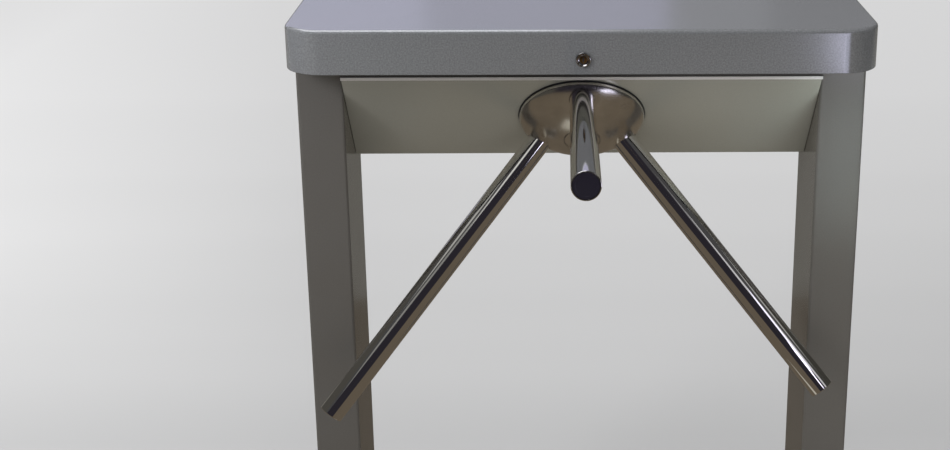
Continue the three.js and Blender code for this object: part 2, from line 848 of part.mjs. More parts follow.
function addArms() {
  const reaches = { blocking: blockingArmReach, left: leftArmReach, right: rightArmReach };
  Object.entries(reaches).forEach(([name, reach], arm) => {
    const turn = armTurn + (arm * 2 * Math.PI) / 3;
    const tubeEnd = reach - capDiscThickness - seatGap;
    const tube = ring(armRadius - armWall, armRadius, armStart, tubeEnd);
    piece(head, `${name}_arm`, 'chrome', alongArm(tube).rotateZ(turn));
    const plugRadius = armRadius - armWall - seatGap;
    const cap = turned([
      [0, tubeEnd - capPlugLength],
      [plugRadius, tubeEnd - capPlugLength],
      [plugRadius, tubeEnd + seatGap],
      [capDiscRadius, tubeEnd + seatGap],
      [capDiscRadius, reach - capEdge],
      [capDiscRadius - capEdge, reach],
      [0, reach],
    ]);
    piece(head, `${name}_arm_end_cap`, 'black', alongArm(cap).rotateZ(turn));
    const socketFoot = setScrewEnd - setScrewSocketDepth;
    const screw = cut(
      disc(setScrewRadius, armRadius + seatGap, setScrewEnd, smallSides),
      hexagon(setScrewSocketRadius, socketFoot, setScrewEnd + overrun),
    );
    piece(head, `${name}_arm_set_screw`, 'steel', alongSetScrew(screw).rotateZ(turn));
  });
}

addHub();
addArms();

// Depths behind the panel, which are negative on the head's own axis
const plateFront = -chassisDepth;
const plateRear = plateFront - chassisWall;
const discFront = plateRear - discGap;
const discRear = discFront - discThickness;
const camFront = discRear - camGap;
const camRear = camFront - camThickness;
const nutFront = camRear - seatGap;

function addShaft() {
  const shaft = turned([
    [0, -hubSocketStart - seatGap],
    [shaftRadius, -hubSocketStart - seatGap],
    [shaftRadius, -collarStart],
    [collarRadius, -collarStart],
    [collarRadius, -collarEnd],
    [shaftRadius, -collarEnd],
    [shaftRadius, -shaftEnd],
    [0, -shaftEnd],
  ]);
  piece(head, 'shaft', 'steel', shaft);

  const bore = shaftRadius + seatGap;
  const discShape = new THREE.Shape();
  const floorHalf = discSlotFloorWidth / 2;
  const rimHalf = discSlotRimWidth / 2;
  const slotFloor = discRadius - discSlotDepth;
  const slotReach = Math.asin(rimHalf / discRadius);
  const pitch = (2 * Math.PI) / discSlots;
  for (let slot = 0; slot < discSlots; slot += 1) {
    const corner = (x, y) => new THREE.Vector2(x, y).rotateAround(new THREE.Vector2(), slot * pitch);
    const entry = corner(Math.cos(slotReach) * discRadius, -rimHalf);
    const floor = [corner(slotFloor, -floorHalf), corner(slotFloor, floorHalf)];
    if (slot === 0) {
      discShape.moveTo(entry.x, entry.y);
    }
    floor.forEach((point) => discShape.lineTo(point.x, point.y));
    discShape.absarc(0, 0, discRadius, slot * pitch + slotReach, (slot + 1) * pitch - slotReach);
  }
  discShape.holes.push(circleOutline(0, 0, bore));
  piece(head, 'index_disc', 'steel', prism(discShape, discThickness)).position.z = discRear;

  const lobes = [];
  for (let i = 0; i < fineSides; i += 1) {
    const angle = (i * 2 * Math.PI) / fineSides;
    const radius = camMeanRadius + camLobe * Math.cos(3 * (angle - Math.PI / 2));
    lobes.push([radius * Math.cos(angle), radius * Math.sin(angle)]);
  }
  const camShape = polygon(lobes);
  camShape.holes.push(circleOutline(0, 0, bore));
  piece(head, 'centring_cam', 'steel', prism(camShape, camThickness)).position.z = camRear;

  const nut = cut(hexagon(nutRadius, nutFront - nutThickness, nutFront), disc(bore, -shaftEnd, -collarStart));
  piece(head, 'shaft_nut', 'steel', nut);
}

function addChassis() {
  const footBack = -sheetWall - seatGap;
  const path = [
    [chassisHalfWidth + chassisFoot, footBack],
    [chassisHalfWidth, footBack],
    [chassisHalfWidth, plateFront],
    [-chassisHalfWidth, plateFront],
    [-chassisHalfWidth, footBack],
    [-chassisHalfWidth - chassisFoot, footBack],
  ];
  const channel = prismAlongY(bentSheet(path, chassisWall, chassisBend), -chassisLow, chassisHigh);
  const housingHole = disc(bearingHousingRadius + seatGap, plateRear - overrun, plateFront + overrun);
  piece(head, 'mechanism_chassis', 'steel', cut(channel, housingHole));

  const flangeRear = plateFront + seatGap;
  const housingRear = plateRear - discGap / 2;
  const housing = turned([
    [bearingSeatRadius, housingRear],
    [bearingHousingRadius, housingRear],
    [bearingHousingRadius, flangeRear],
    [bearingFlangeRadius, flangeRear],
    [bearingFlangeRadius, flangeRear + bearingFlangeThickness],
    [bearingHousingRadius, flangeRear + bearingFlangeThickness],
    [bearingHousingRadius, -bearingHousingStart],
    [bearingSeatRadius, -bearingHousingStart],
    [bearingSeatRadius, housingRear],
  ]);
  piece(head, 'bearing_housing', 'steel', housing);

  const bushOuter = bearingSeatRadius - seatGap;
  const bushBore = shaftRadius + runningGap;
  const frontFace = -bearingHousingStart + seatGap;
  const frontBush = turned([
    [bushBore, frontFace - bushLength],
    [bushOuter, frontFace - bushLength],
    [bushOuter, frontFace],
    [bushFlangeRadius, frontFace],
    [bushFlangeRadius, frontFace + bushFlangeThickness],
    [bushBore, frontFace + bushFlangeThickness],
    [bushBore, frontFace - bushLength],
  ]);
  piece(head, 'front_bush', 'bronze', frontBush);
  piece(head, 'rear_bush', 'bronze', ring(bushBore, bushOuter, housingRear, housingRear + bushLength));
}

addShaft();
addChassis();

// Locking pawls, each with its pivot, solenoid and plunger. They are drawn engaged and turned back to rest.

function pawlShape() {
  const [px, py] = [pawlPivotAcross, pawlPivotUp];
  const tooth = pawlToothHalf;
  const outline = polygon([
    [pawlTip, -tooth],
    [pawlBack - pawlHubRadius, -tooth - pawlSlotHalf],
    [pawlBack, -tooth],
    [px + pawlHubRadius, py - pawlHubRadius / 2],
    [px + pawlHubRadius, py + pawlHubRadius / 2],
    [px + pawlTailHalf, py + pawlHubRadius],
    [px + pawlTailHalf, py + pawlTailEnd],
    [px - pawlTailHalf, py + pawlTailEnd],
    [px - pawlTailHalf, py + pawlHubRadius],
    [px - pawlHubRadius, py + pawlHubRadius / 2],
    [px - pawlHubRadius, py - pawlHubRadius / 2],
    [pawlBack - pawlHubRadius, pawlHubRadius],
    [pawlTip, tooth],
  ]);
  outline.holes.push(circleOutline(px, py, pawlPivotRadius + runningGap));
  const slot = new THREE.Path();
  slot.absarc(px, py + pawlTail + pawlSlotRun, pawlSlotHalf, 0, Math.PI);
  slot.absarc(px, py + pawlTail - pawlSlotRun, pawlSlotHalf, Math.PI, 2 * Math.PI);
  outline.holes.push(slot);
  return outline;
}

function addLockingSide(side, sign) {
  const mirrored = (geometry) => (sign > 0 ? geometry : geometry.scale(-1, 1, 1));
  const [px, py] = [pawlPivotAcross, pawlPivotUp];
  const pawl = prism(pawlShape(), discThickness)
    .translate(-px, -py, discRear)
    .rotateZ(pawlSwing)
    .translate(px, py, 0);
  piece(head, `${side}_pawl`, 'steel', mirrored(pawl));

  const headFront = discRear - seatGap;
  const pivot = join(
    disc(pawlPivotRadius, headFront - pawlPivotHead, plateRear - seatGap, smallSides),
    disc(pawlPivotHeadRadius, headFront - pawlPivotHead, headFront, smallSides),
    disc(pawlPivotHeadRadius, discFront + seatGap, plateRear - seatGap, smallSides),
  );
  piece(head, `${side}_pawl_pivot`, 'steel', pivot).position.set(sign * px, py, 0);

  const backFace = plateRear - seatGap;
  const barY = py + pawlTail;
  const axisZ = backFace - solenoidDepth / 2;
  const coil = box(
    new THREE.Vector3(solenoidStart, barY - solenoidHeight / 2, backFace - solenoidDepth),
    new THREE.Vector3(solenoidStart + solenoidLength, barY + solenoidHeight / 2, backFace),
  );
  const bore = disc(plungerRadius + plungerBoreGap, -overrun, solenoidLength + overrun, smallSides)
    .rotateY(Math.PI / 2)
    .translate(solenoidStart, barY, axisZ);
  piece(head, `${side}_solenoid`, 'copper', mirrored(cut(coil, bore)));

  const pinX = px - pawlTail * Math.sin(pawlSwing);
  const headEnd = pinX + plungerHeadLength - plungerHeadHeight / 2;
  const forkFront = discRear - 2 * seatGap;
  const rod = disc(plungerRadius, 0, plungerLength, smallSides)
    .rotateY(Math.PI / 2)
    .translate(headEnd - plungerRadius, barY, axisZ);
  const fork = box(
    new THREE.Vector3(pinX - plungerHeadHeight / 2, barY - plungerHeadHeight / 2, forkFront - plungerHeadThickness),
    new THREE.Vector3(headEnd, barY + plungerHeadHeight / 2, forkFront),
  );
  const pin = disc(plungerPinRadius, forkFront - plungerHeadThickness / 2, discFront, smallSides)
    .translate(pinX, barY, 0);
  piece(head, `${side}_plunger`, 'steel', mirrored(join(rod, fork, pin)));
}

sides.forEach(([side, sign]) => addLockingSide(side, sign));

// Centring lever. Its roller stands just clear of the cam's lobes at rest.

class SpringPath extends THREE.Curve {
  constructor(radius, rise, turns) {
    super();
    Object.assign(this, { radius, rise, turns });
  }

  getPoint(t, target = new THREE.Vector3()) {
    const angle = 2 * Math.PI * this.turns * t;
    return target.set(this.radius * Math.cos(angle), this.radius * Math.sin(angle), this.rise * t);
  }
}

function springCoil(rise) {
  const section = new THREE.Shape();
  for (let i = 0; i < 5; i += 1) {
    const angle = (i * 2 * Math.PI) / 5;
    const [x, y] = [springWireRadius * Math.cos(angle), springWireRadius * Math.sin(angle)];
    if (i === 0) {
      section.moveTo(x, y);
    } else {
      section.lineTo(x, y);
    }
  }
  return new THREE.ExtrudeGeometry(section, {
    steps: springTurns * springStepsPerTurn,
    bevelEnabled: false,
    extrudePath: new SpringPath(springRadius, rise, springTurns),
  });
}

function addCentring() {
  const rollerReach = camMeanRadius + camLobe + rollerRestGap + rollerRadius;
  const pivot = new THREE.Vector2(-leverPivotAcross, -leverPivotUp);
  const wheel = new THREE.Vector2(0, -rollerReach);
  const barFront = nutFront - leverThickness / 2;
  const bar = prism(roundBar(pivot, wheel, leverHalfWidth), leverThickness).translate(0, 0, barFront - leverThickness);
  const boss = disc(leverHalfWidth, barFront - seatGap, barFront + leverBoss, smallSides)
    .translate(pivot.x, pivot.y, 0);
  const pivotBore = disc(leverPivotRadius + runningGap, -2 * shaftEnd, 0, smallSides)
    .translate(pivot.x, pivot.y, 0);
  const rollerPin = disc(rollerPinRadius, barFront - seatGap, camFront, smallSides)
    .translate(wheel.x, wheel.y, 0);
  piece(head, 'centring_lever', 'steel', join(cut(join(bar, boss), pivotBore), rollerPin));

  const rollerRear = barFront + (camFront - barFront - rollerLength) / 2;
  const roller = ring(rollerPinRadius + runningGap, rollerRadius, rollerRear, rollerRear + rollerLength);
  piece(head, 'centring_roller', 'black', roller).position.set(wheel.x, wheel.y, 0);

  const pinRear = barFront - leverThickness - seatGap;
  const post = join(
    disc(leverPivotRadius, pinRear - pawlPivotHead, plateRear - seatGap, smallSides),
    disc(pawlPivotHeadRadius, pinRear - pawlPivotHead, pinRear, smallSides),
  );
  piece(head, 'centring_lever_pivot', 'steel', post).position.set(pivot.x, pivot.y, 0);

  const springRear = barFront + leverBoss + seatGap + springWireRadius;
  const springFront = plateRear - seatGap - springWireRadius;
  const coil = piece(head, 'centring_spring', 'steel', springCoil(springFront - springRear));
  coil.position.set(pivot.x, pivot.y, springRear);
}

addCentring();

// Electrics

function addElectrics() {
  const floor = trayFloor + sheetWall + seatGap;
  const supplyRear = trayRear - sheetWall - supplyRearInset;
  const supplyLeft = -legInner + supplySideInset;
  let supply = box(
    new THREE.Vector3(supplyLeft, supplyRear - supplyDepth, floor),
    new THREE.Vector3(supplyLeft + supplyLength, supplyRear, floor + supplyHeight),
  );
  const grooves = [];
  for (let i = 0; i < supplyFins; i += 1) {
    const at = supplyLeft + ((i + 1) * supplyLength) / (supplyFins + 1);
    grooves.push(box(
      new THREE.Vector3(at - supplyFinWidth / 2, supplyRear - supplyDepth - overrun, floor + supplyHeight - supplyFinDepth),
      new THREE.Vector3(at + supplyFinWidth / 2, supplyRear + overrun, floor + supplyHeight + overrun),
    ));
  }
  supply = cut(supply, ...grooves);
  piece(stand, 'power_supply', 'steel', supply);

  const wall = trayRear - sheetWall - seatGap;
  const boardRear = wall - boardStandOff;
  const boardFront = boardRear - boardThickness;
  const boardRight = legInner - boardSideInset;
  const boardLow = floor + boardRise;
  const sheet = box(
    new THREE.Vector3(boardRight - boardWidth, boardFront, boardLow),
    new THREE.Vector3(boardRight, boardRear, boardLow + boardHeight),
  );
  const posts = [];
  [boardRight - boardWidth + boardPostInset, boardRight - boardPostInset].forEach((x) => {
    [boardLow + boardPostInset, boardLow + boardHeight - boardPostInset].forEach((z) => {
      posts.push(disc(boardPostRadius, -wall, -boardRear + seatGap, smallSides).rotateX(Math.PI / 2).translate(x, 0, z));
    });
  });
  const parts = boardPartHeights.map((height, i) => {
    const left = boardRight - boardWidth + boardPostInset + i * boardPartPitch;
    const low = boardLow + boardHeight / 2 - boardPartTall / 2;
    return box(
      new THREE.Vector3(left, boardFront - height, low),
      new THREE.Vector3(left + boardPartWidths[i], boardFront + seatGap, low + boardPartTall),
    );
  });
  piece(stand, 'control_board', 'board', join(sheet, ...posts, ...parts));
}

addElectrics();

// The whole stands with its outline's middle over the origin: the blocking arm's end cap is its front.
const armRise = armAngle - hubTilt;
const armTipFront = hubCentre.x + armApexDepth * tiltCos
  - blockingArmReach * Math.cos(armRise) - (capDiscRadius - capEdge) * Math.abs(Math.sin(armRise));
stand.position.y = -(armTipFront + lidRear) / 2;

export default turnstile;
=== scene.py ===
"""Looks of a waist-high tripod turnstile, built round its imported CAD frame. Lengths are in metres."""
import json
import math

import bmesh
import bpy
from mathutils import Matrix, Vector


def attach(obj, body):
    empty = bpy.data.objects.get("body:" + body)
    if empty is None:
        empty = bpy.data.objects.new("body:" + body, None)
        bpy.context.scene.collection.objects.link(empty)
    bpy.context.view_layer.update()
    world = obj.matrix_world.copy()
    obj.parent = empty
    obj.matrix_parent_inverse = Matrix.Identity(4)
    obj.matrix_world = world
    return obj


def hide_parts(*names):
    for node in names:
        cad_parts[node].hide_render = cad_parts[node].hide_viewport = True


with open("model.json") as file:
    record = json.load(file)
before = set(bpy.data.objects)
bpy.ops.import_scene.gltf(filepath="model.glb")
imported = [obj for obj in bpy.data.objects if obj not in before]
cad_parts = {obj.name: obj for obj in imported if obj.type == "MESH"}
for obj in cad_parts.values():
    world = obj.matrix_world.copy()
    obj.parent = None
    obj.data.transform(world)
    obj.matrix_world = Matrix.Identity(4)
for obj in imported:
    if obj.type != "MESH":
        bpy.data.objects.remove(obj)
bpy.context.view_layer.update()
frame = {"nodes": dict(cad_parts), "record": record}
scene = bpy.context.scene
scene.view_settings.view_transform = "Standard"

# Camera, fitted to the photograph's corners

CAMERA_PLACE = Vector((-0.03404, -1.84846, 1.43554))
CAMERA_YAW, CAMERA_PITCH, CAMERA_ROLL = 0.02799, 0.32199, -0.00383
CAMERA_LENS, CAMERA_SENSOR = 59.915, 36
CAMERA_SHIFT, CAMERA_RISE = -0.12985, -0.04419


def add_camera():
    look = Vector((
        math.sin(CAMERA_YAW) * math.cos(CAMERA_PITCH),
        math.cos(CAMERA_YAW) * math.cos(CAMERA_PITCH),
        -math.sin(CAMERA_PITCH),
    ))
    level = Vector((math.cos(CAMERA_YAW), -math.sin(CAMERA_YAW), 0))
    down = look.cross(level)
    across = level * math.cos(CAMERA_ROLL) + down * math.sin(CAMERA_ROLL)
    drop = down * math.cos(CAMERA_ROLL) - level * math.sin(CAMERA_ROLL)
    data = bpy.data.cameras.new("camera")
    data.lens = CAMERA_LENS
    data.sensor_width = CAMERA_SENSOR
    data.shift_x = CAMERA_SHIFT
    data.shift_y = CAMERA_RISE
    camera = bpy.data.objects.new("camera", data)
    scene.collection.objects.link(camera)
    turn = Matrix((across, -drop, -look)).transposed().to_4x4()
    camera.matrix_world = Matrix.Translation(CAMERA_PLACE) @ turn
    scene.camera = camera


add_camera()


# Nodes of the materials

def map_range(tree, value, start, end, low=0.0, high=1.0):
    node = tree.nodes.new("ShaderNodeMapRange")
    for name, number in (("From Min", start), ("From Max", end), ("To Min", low), ("To Max", high)):
        node.inputs[name].default_value = number
    tree.links.new(value, node.inputs["Value"])
    return node.outputs["Result"]


def combine(tree, operation, first, second, clamp=False):
    """Arithmetic on two sockets, or on a socket and a float."""
    node = tree.nodes.new("ShaderNodeMath")
    node.operation = operation
    node.use_clamp = clamp
    for entry, value in zip(node.inputs, (first, second)):
        if isinstance(value, float):
            entry.default_value = value
        else:
            tree.links.new(value, entry)
    return node.outputs[0]


def mix_colors(tree, factor, first, second):
    node = tree.nodes.new("ShaderNodeMix")
    node.data_type = "RGBA"
    node.inputs["A"].default_value = (*first, 1)
    node.inputs["B"].default_value = (*second, 1)
    tree.links.new(factor, node.inputs["Factor"])
    return node.outputs["Result"]


# Materials, by name

NOISE_LOW, NOISE_HIGH = 0.3, 0.7
FINE_DETAIL, CLOUD_DETAIL = 3.0, 4.0
TINT_FINER, TINT_SHARE = 2.3, 0.5

surfaces = {}


def surface(
    name, color, metallic=0.0, rough=0.5, grain=900.0, grain_mix=0.06, cloud=5.0, cloud_mix=0.05,
    tint=None, rough_mix=0.05, rough_scale=30.0, bump=0.1, depth=0.0002, stretch=(1, 1, 1),
):
    """A coloured surface with fine grain, slow clouds, uneven gloss and a small relief."""
    material = bpy.data.materials.new(name)
    material.use_nodes = True
    tree = material.node_tree
    shader = tree.nodes["Principled BSDF"]
    shader.inputs["Metallic"].default_value = metallic
    where = tree.nodes.new("ShaderNodeTexCoord").outputs["Object"]
    scaled = tree.nodes.new("ShaderNodeMapping")
    scaled.inputs["Scale"].default_value = stretch
    tree.links.new(where, scaled.inputs["Vector"])
    stretched = scaled.outputs["Vector"]

    def noise(scale, detail, source):
        node = tree.nodes.new("ShaderNodeTexNoise")
        node.inputs["Scale"].default_value = scale
        node.inputs["Detail"].default_value = detail
        tree.links.new(source, node.inputs["Vector"])
        return node.outputs["Fac"]

    def spread(value, low, high):
        return map_range(tree, value, NOISE_LOW, NOISE_HIGH, low, high)

    fine = noise(grain, FINE_DETAIL, stretched)
    slow = noise(cloud, CLOUD_DETAIL, where)
    brightness = combine(
        tree, "MULTIPLY",
        spread(fine, 1 - grain_mix, 1 + grain_mix), spread(slow, 1 - cloud_mix, 1 + cloud_mix),
    )
    patches = spread(noise(cloud * TINT_FINER, FINE_DETAIL, where), 0, TINT_SHARE)
    shade = tree.nodes.new("ShaderNodeHueSaturation")
    tree.links.new(mix_colors(tree, patches, color, tint or color), shade.inputs["Color"])
    tree.links.new(brightness, shade.inputs["Value"])
    tree.links.new(shade.outputs["Color"], shader.inputs["Base Color"])
    uneven = spread(noise(rough_scale, CLOUD_DETAIL, stretched), rough - rough_mix, rough + rough_mix)
    tree.links.new(uneven, shader.inputs["Roughness"])
    relief = tree.nodes.new("ShaderNodeBump")
    relief.inputs["Strength"].default_value = bump
    relief.inputs["Distance"].default_value = depth
    tree.links.new(fine, relief.inputs["Height"])
    tree.links.new(relief.outputs["Normal"], shader.inputs["Normal"])
    surfaces[name] = material


surface(
    "lid_coat", (0.272, 0.282, 0.290), metallic=0.6, rough=0.17, grain=520, grain_mix=0.19,
    tint=(0.280, 0.279, 0.293), cloud=3.5, cloud_mix=0.02, rough_mix=0.012, bump=0.12, depth=0.0001,
)
surface(
    "housing_coat", (0.495, 0.49, 0.425), metallic=0.6, rough=0.22, grain=500, grain_mix=0.03,
    tint=(0.485, 0.475, 0.40), cloud=4, cloud_mix=0.02, rough_mix=0.008, bump=0.06, depth=0.0001,
)
# A lighter copy of the housing coat: a painted highlight on the panel's top bend
surface(
    "bend_highlight_coat", (0.71, 0.68, 0.655), metallic=0.4, rough=0.30, grain=500, grain_mix=0.03,
    cloud=4, cloud_mix=0.02, rough_mix=0.008, bump=0.06, depth=0.0001,
)
surface(
    "leg_coat", (0.184, 0.177, 0.165), metallic=0.6, rough=0.22, grain=500, grain_mix=0.05,
    tint=(0.181, 0.169, 0.152), cloud=4, cloud_mix=0.03, rough_mix=0.015, bump=0.12, depth=0.0001,
)
surface("plate_coat", (0.12, 0.115, 0.11), metallic=0.45, rough=0.42, grain=600, grain_mix=0.08, bump=0.15)
surface(
    "polished_steel", (0.86, 0.84, 0.81), metallic=1.0, rough=0.20, grain=400, grain_mix=0.02,
    cloud=22, cloud_mix=0.15, tint=(0.80, 0.76, 0.70), rough_mix=0.04, rough_scale=45, bump=0.02,
    depth=0.0001,
)
surface(
    "polished_tube", (0.86, 0.84, 0.82), metallic=1.0, rough=0.055, grain=500, grain_mix=0.02,
    cloud=9, cloud_mix=0.03, rough_mix=0.03, rough_scale=60, bump=0.02, depth=0.0001,
    stretch=(1, 1, 0.04),
)
surface("black_rubber", (0.012, 0.012, 0.015), rough=0.5, grain=900, grain_mix=0.2, rough_mix=0.08, bump=0.2)
# Near-black for the strip under the lid: a painted shadow of the gap between lid and panel
surface("painted_gap_shadow", (0.040, 0.036, 0.032), rough=0.6, grain=900, grain_mix=0.2, rough_mix=0.08, bump=0.2)
surface(
    "black_plastic", (0.012, 0.010, 0.020), rough=0.42, grain=1400, grain_mix=0.2, rough_mix=0.07, bump=0.25,
)
surface("dark_screw", (0.10, 0.095, 0.09), metallic=0.9, rough=0.35, grain=1200, grain_mix=0.15, bump=0.1)
surface("lock_chrome", (0.66, 0.65, 0.63), metallic=1.0, rough=0.16, grain=1500, grain_mix=0.05, bump=0.05)
surface(
    "brass", (0.42, 0.27, 0.12), metallic=1.0, rough=0.3, grain=1800, grain_mix=0.15, bump=0.15,
    tint=(0.25, 0.13, 0.06), cloud=150,
)
surface("bronze", (0.42, 0.25, 0.12), metallic=1.0, rough=0.38, grain=900, grain_mix=0.1, bump=0.1)
surface(
    "zinc_steel", (0.46, 0.46, 0.45), metallic=0.9, rough=0.36, grain=250, grain_mix=0.12, cloud=40,
    cloud_mix=0.1, tint=(0.42, 0.43, 0.36), bump=0.1,
)
surface(
    "machined_steel", (0.42, 0.41, 0.40), metallic=1.0, rough=0.3, grain=1200, grain_mix=0.1, bump=0.15,
    stretch=(1, 1, 0.1),
)
surface("coil_case", (0.015, 0.016, 0.018), rough=0.45, grain=900, grain_mix=0.2, bump=0.3)
surface("supply_case", (0.44, 0.44, 0.43), metallic=0.8, rough=0.42, grain=900, grain_mix=0.08, bump=0.15)
surface(
    "circuit_board", (0.02, 0.085, 0.035), rough=0.35, grain=600, grain_mix=0.25, cloud=90, cloud_mix=0.2,
    tint=(0.03, 0.11, 0.04), bump=0.1,
)


# CAD nodes: material and even shading

NODE_WELD = 2e-5
NODE_SHARP = math.radians(31)


def dress_nodes():
    """Each CAD node takes its slot's material and even shading."""
    slot_of = {row["node"]: row["material_slot"] for row in frame["record"]["subparts"]}
    for name, node in frame["nodes"].items():
        coat = "plate_coat" if "foot_plate" in name else slot_of[name]
        node.data.materials.clear()
        node.data.materials.append(surfaces[coat])
        for polygon in node.data.polygons:
            polygon.use_smooth = True
        weld = node.modifiers.new("weld", "WELD")
        weld.merge_threshold = NODE_WELD
        split = node.modifiers.new("split", "EDGE_SPLIT")
        split.split_angle = NODE_SHARP
        even = node.modifiers.new("even_shading", "WEIGHTED_NORMAL")
        even.keep_sharp = True


dress_nodes()


# Mesh helpers

CREASE, CARVED_CREASE = 40, 30
POLE_RADIUS = 1e-7
CARVE_WELD = 1e-6
STRAIGHT_MARGIN = 0.01


def quarter(steps):
    """Angles from 0 to 90 degrees."""
    return [step / steps * math.pi / 2 for step in range(steps + 1)]


def skin(bm, loops, round_trip=False, first_cap=False, last_cap=False):
    """Faces between rings of points. A ring of one point is a pole."""
    rows = [[bm.verts.new(point) for point in loop] for loop in loops]
    pairs = list(zip(rows, rows[1:]))
    if round_trip:
        pairs.append((rows[-1], rows[0]))
    for low, high in pairs:
        count = max(len(low), len(high))
        for i in range(count):
            j = (i + 1) % count
            if len(low) == 1:
                bm.faces.new((low[0], high[j], high[i]))
            elif len(high) == 1:
                bm.faces.new((low[i], low[j], high[0]))
            else:
                bm.faces.new((low[i], low[j], high[j], high[i]))
    if first_cap:
        bm.faces.new(tuple(reversed(rows[0])))
    if last_cap:
        bm.faces.new(tuple(rows[-1]))


def fillet(points, radii, steps):
    """A flat path with its inner corners rounded to the given radii."""
    path = [Vector(points[0])]
    for i in range(1, len(points) - 1):
        here, radius = Vector(points[i]), radii[i - 1]
        back = (Vector(points[i - 1]) - here).normalized()
        on = (Vector(points[i + 1]) - here).normalized()
        half = back.angle(on) / 2
        if radius <= 0 or half > math.pi / 2 - STRAIGHT_MARGIN:
            path.append(here)
            continue
        run = radius / math.tan(half)
        centre = here + (back + on).normalized() * (radius / math.sin(half))
        start, end = here + back * run - centre, here + on * run - centre
        sweep = start.angle_signed(end)
        for step in range(steps + 1):
            turn = -sweep * step / steps
            c, s = math.cos(turn), math.sin(turn)
            path.append(centre + Vector((start.x * c - start.y * s, start.x * s + start.y * c)))
    path.append(Vector(points[-1]))
    return path


def lathe(profile, sides, closed=False, place=None):
    """Turns (radius, height) points about Z, in a new bmesh."""
    loops = []
    for radius, height in profile:
        if radius < POLE_RADIUS:
            loops.append([(0, 0, height)])
            continue
        loops.append([
            (radius * math.cos(2 * math.pi * i / sides), radius * math.sin(2 * math.pi * i / sides), height)
            for i in range(sides)
        ])
    bm = bmesh.new()
    skin(bm, loops, round_trip=closed)
    if place is not None:
        bmesh.ops.transform(bm, matrix=place, verts=bm.verts)
    return bm


def turned(points, radii, steps, sides, closed=False):
    """Turns a section with rounded corners about Z. A closed one ends on its first point."""
    path = fillet(points, radii, steps)
    return lathe(path[:-1] if closed else path, sides, closed)


def rounded_ring(half_x, half_y, radius, z, corner_steps, side_steps=1):
    """A rounded rectangle about the origin, with points along its straight sides."""
    x, y = half_x - radius, half_y - radius
    corners = ((x, y), (-x, y), (-x, -y), (x, -y))
    points = []
    for quadrant, (cx, cy) in enumerate(corners):
        for step in range(corner_steps + 1):
            angle = (quadrant + step / corner_steps) * math.pi / 2
            points.append(Vector((cx + radius * math.cos(angle), cy + radius * math.sin(angle), z)))
        nx, ny = corners[(quadrant + 1) % 4]
        turn = (quadrant + 1) * math.pi / 2
        end = Vector((nx + radius * math.cos(turn), ny + radius * math.sin(turn), z))
        start = points[-1].copy()
        for step in range(1, side_steps):
            points.append(start.lerp(end, step / side_steps))
    return points


def finish_mesh(name, bm, coat, body, replaced=(), place=None, sharp=CREASE):
    """Makes the mesh a piece in its coat. Its slot has the coat's name."""
    bmesh.ops.recalc_face_normals(bm, faces=bm.faces)
    for face in bm.faces:
        face.smooth = True
    for edge in bm.edges:
        if len(edge.link_faces) == 2 and edge.calc_face_angle(0) > math.radians(sharp):
            edge.smooth = False
    mesh = bpy.data.meshes.new(name)
    bm.to_mesh(mesh)
    bm.free()
    obj = bpy.data.objects.new(name, mesh)
    scene.collection.objects.link(obj)
    mesh.materials.append(surfaces[coat])
    if place is not None:
        obj.matrix_world = place
    even = obj.modifiers.new("even_shading", "WEIGHTED_NORMAL")
    even.keep_sharp = True
    bpy.context.view_layer.update()
    if replaced:
        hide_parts(*replaced)
    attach(obj, body)


def carve(bm, cutters):
    """The mesh less each cutter, as a new bmesh."""
    def temporary(name, source):
        mesh = bpy.data.meshes.new(name)
        bmesh.ops.recalc_face_normals(source, faces=source.faces)
        source.to_mesh(mesh)
        source.free()
        obj = bpy.data.objects.new(name, mesh)
        scene.collection.objects.link(obj)
        return obj

    body = temporary("carved", bm)
    tools = [temporary("cutter", cutter) for cutter in cutters]
    for tool in tools:
        step = body.modifiers.new("cut", "BOOLEAN")
        step.operation = "DIFFERENCE"
        step.solver = "EXACT"
        step.object = tool
    bpy.context.view_layer.update()
    shaped = body.evaluated_get(bpy.context.evaluated_depsgraph_get()).to_mesh()
    result = bmesh.new()
    result.from_mesh(shaped)
    for obj in [body, *tools]:
        mesh = obj.data
        bpy.data.objects.remove(obj)
        bpy.data.meshes.remove(mesh)
    bmesh.ops.remove_doubles(result, verts=result.verts, dist=CARVE_WELD)
    return result


# Lid

LID_HALF_X, LID_HALF_Y, LID_CENTRE_Y = 0.372, 0.140, 0.187942
LID_LOW, LID_TOP, LID_WALL, LID_CORNER, LID_EDGE = 0.944, 1.0, 0.002, 0.050, 0.005
LID_HEM = 0.0007
LID_INNER_RUN, LID_OUTER_RUN = 0.004, 0.002
LID_CORNER_STEPS, LID_SIDE_STEPS = 20, 6
LID_INNER_STEPS, LID_HEM_STEPS, LID_EDGE_STEPS = 9, 4, 12


def lid_loop(inset, z):
    loop = rounded_ring(
        LID_HALF_X - inset, LID_HALF_Y - inset, LID_CORNER - inset, z, LID_CORNER_STEPS, LID_SIDE_STEPS,
    )
    return [point + Vector((0, LID_CENTRE_Y, 0)) for point in loop]


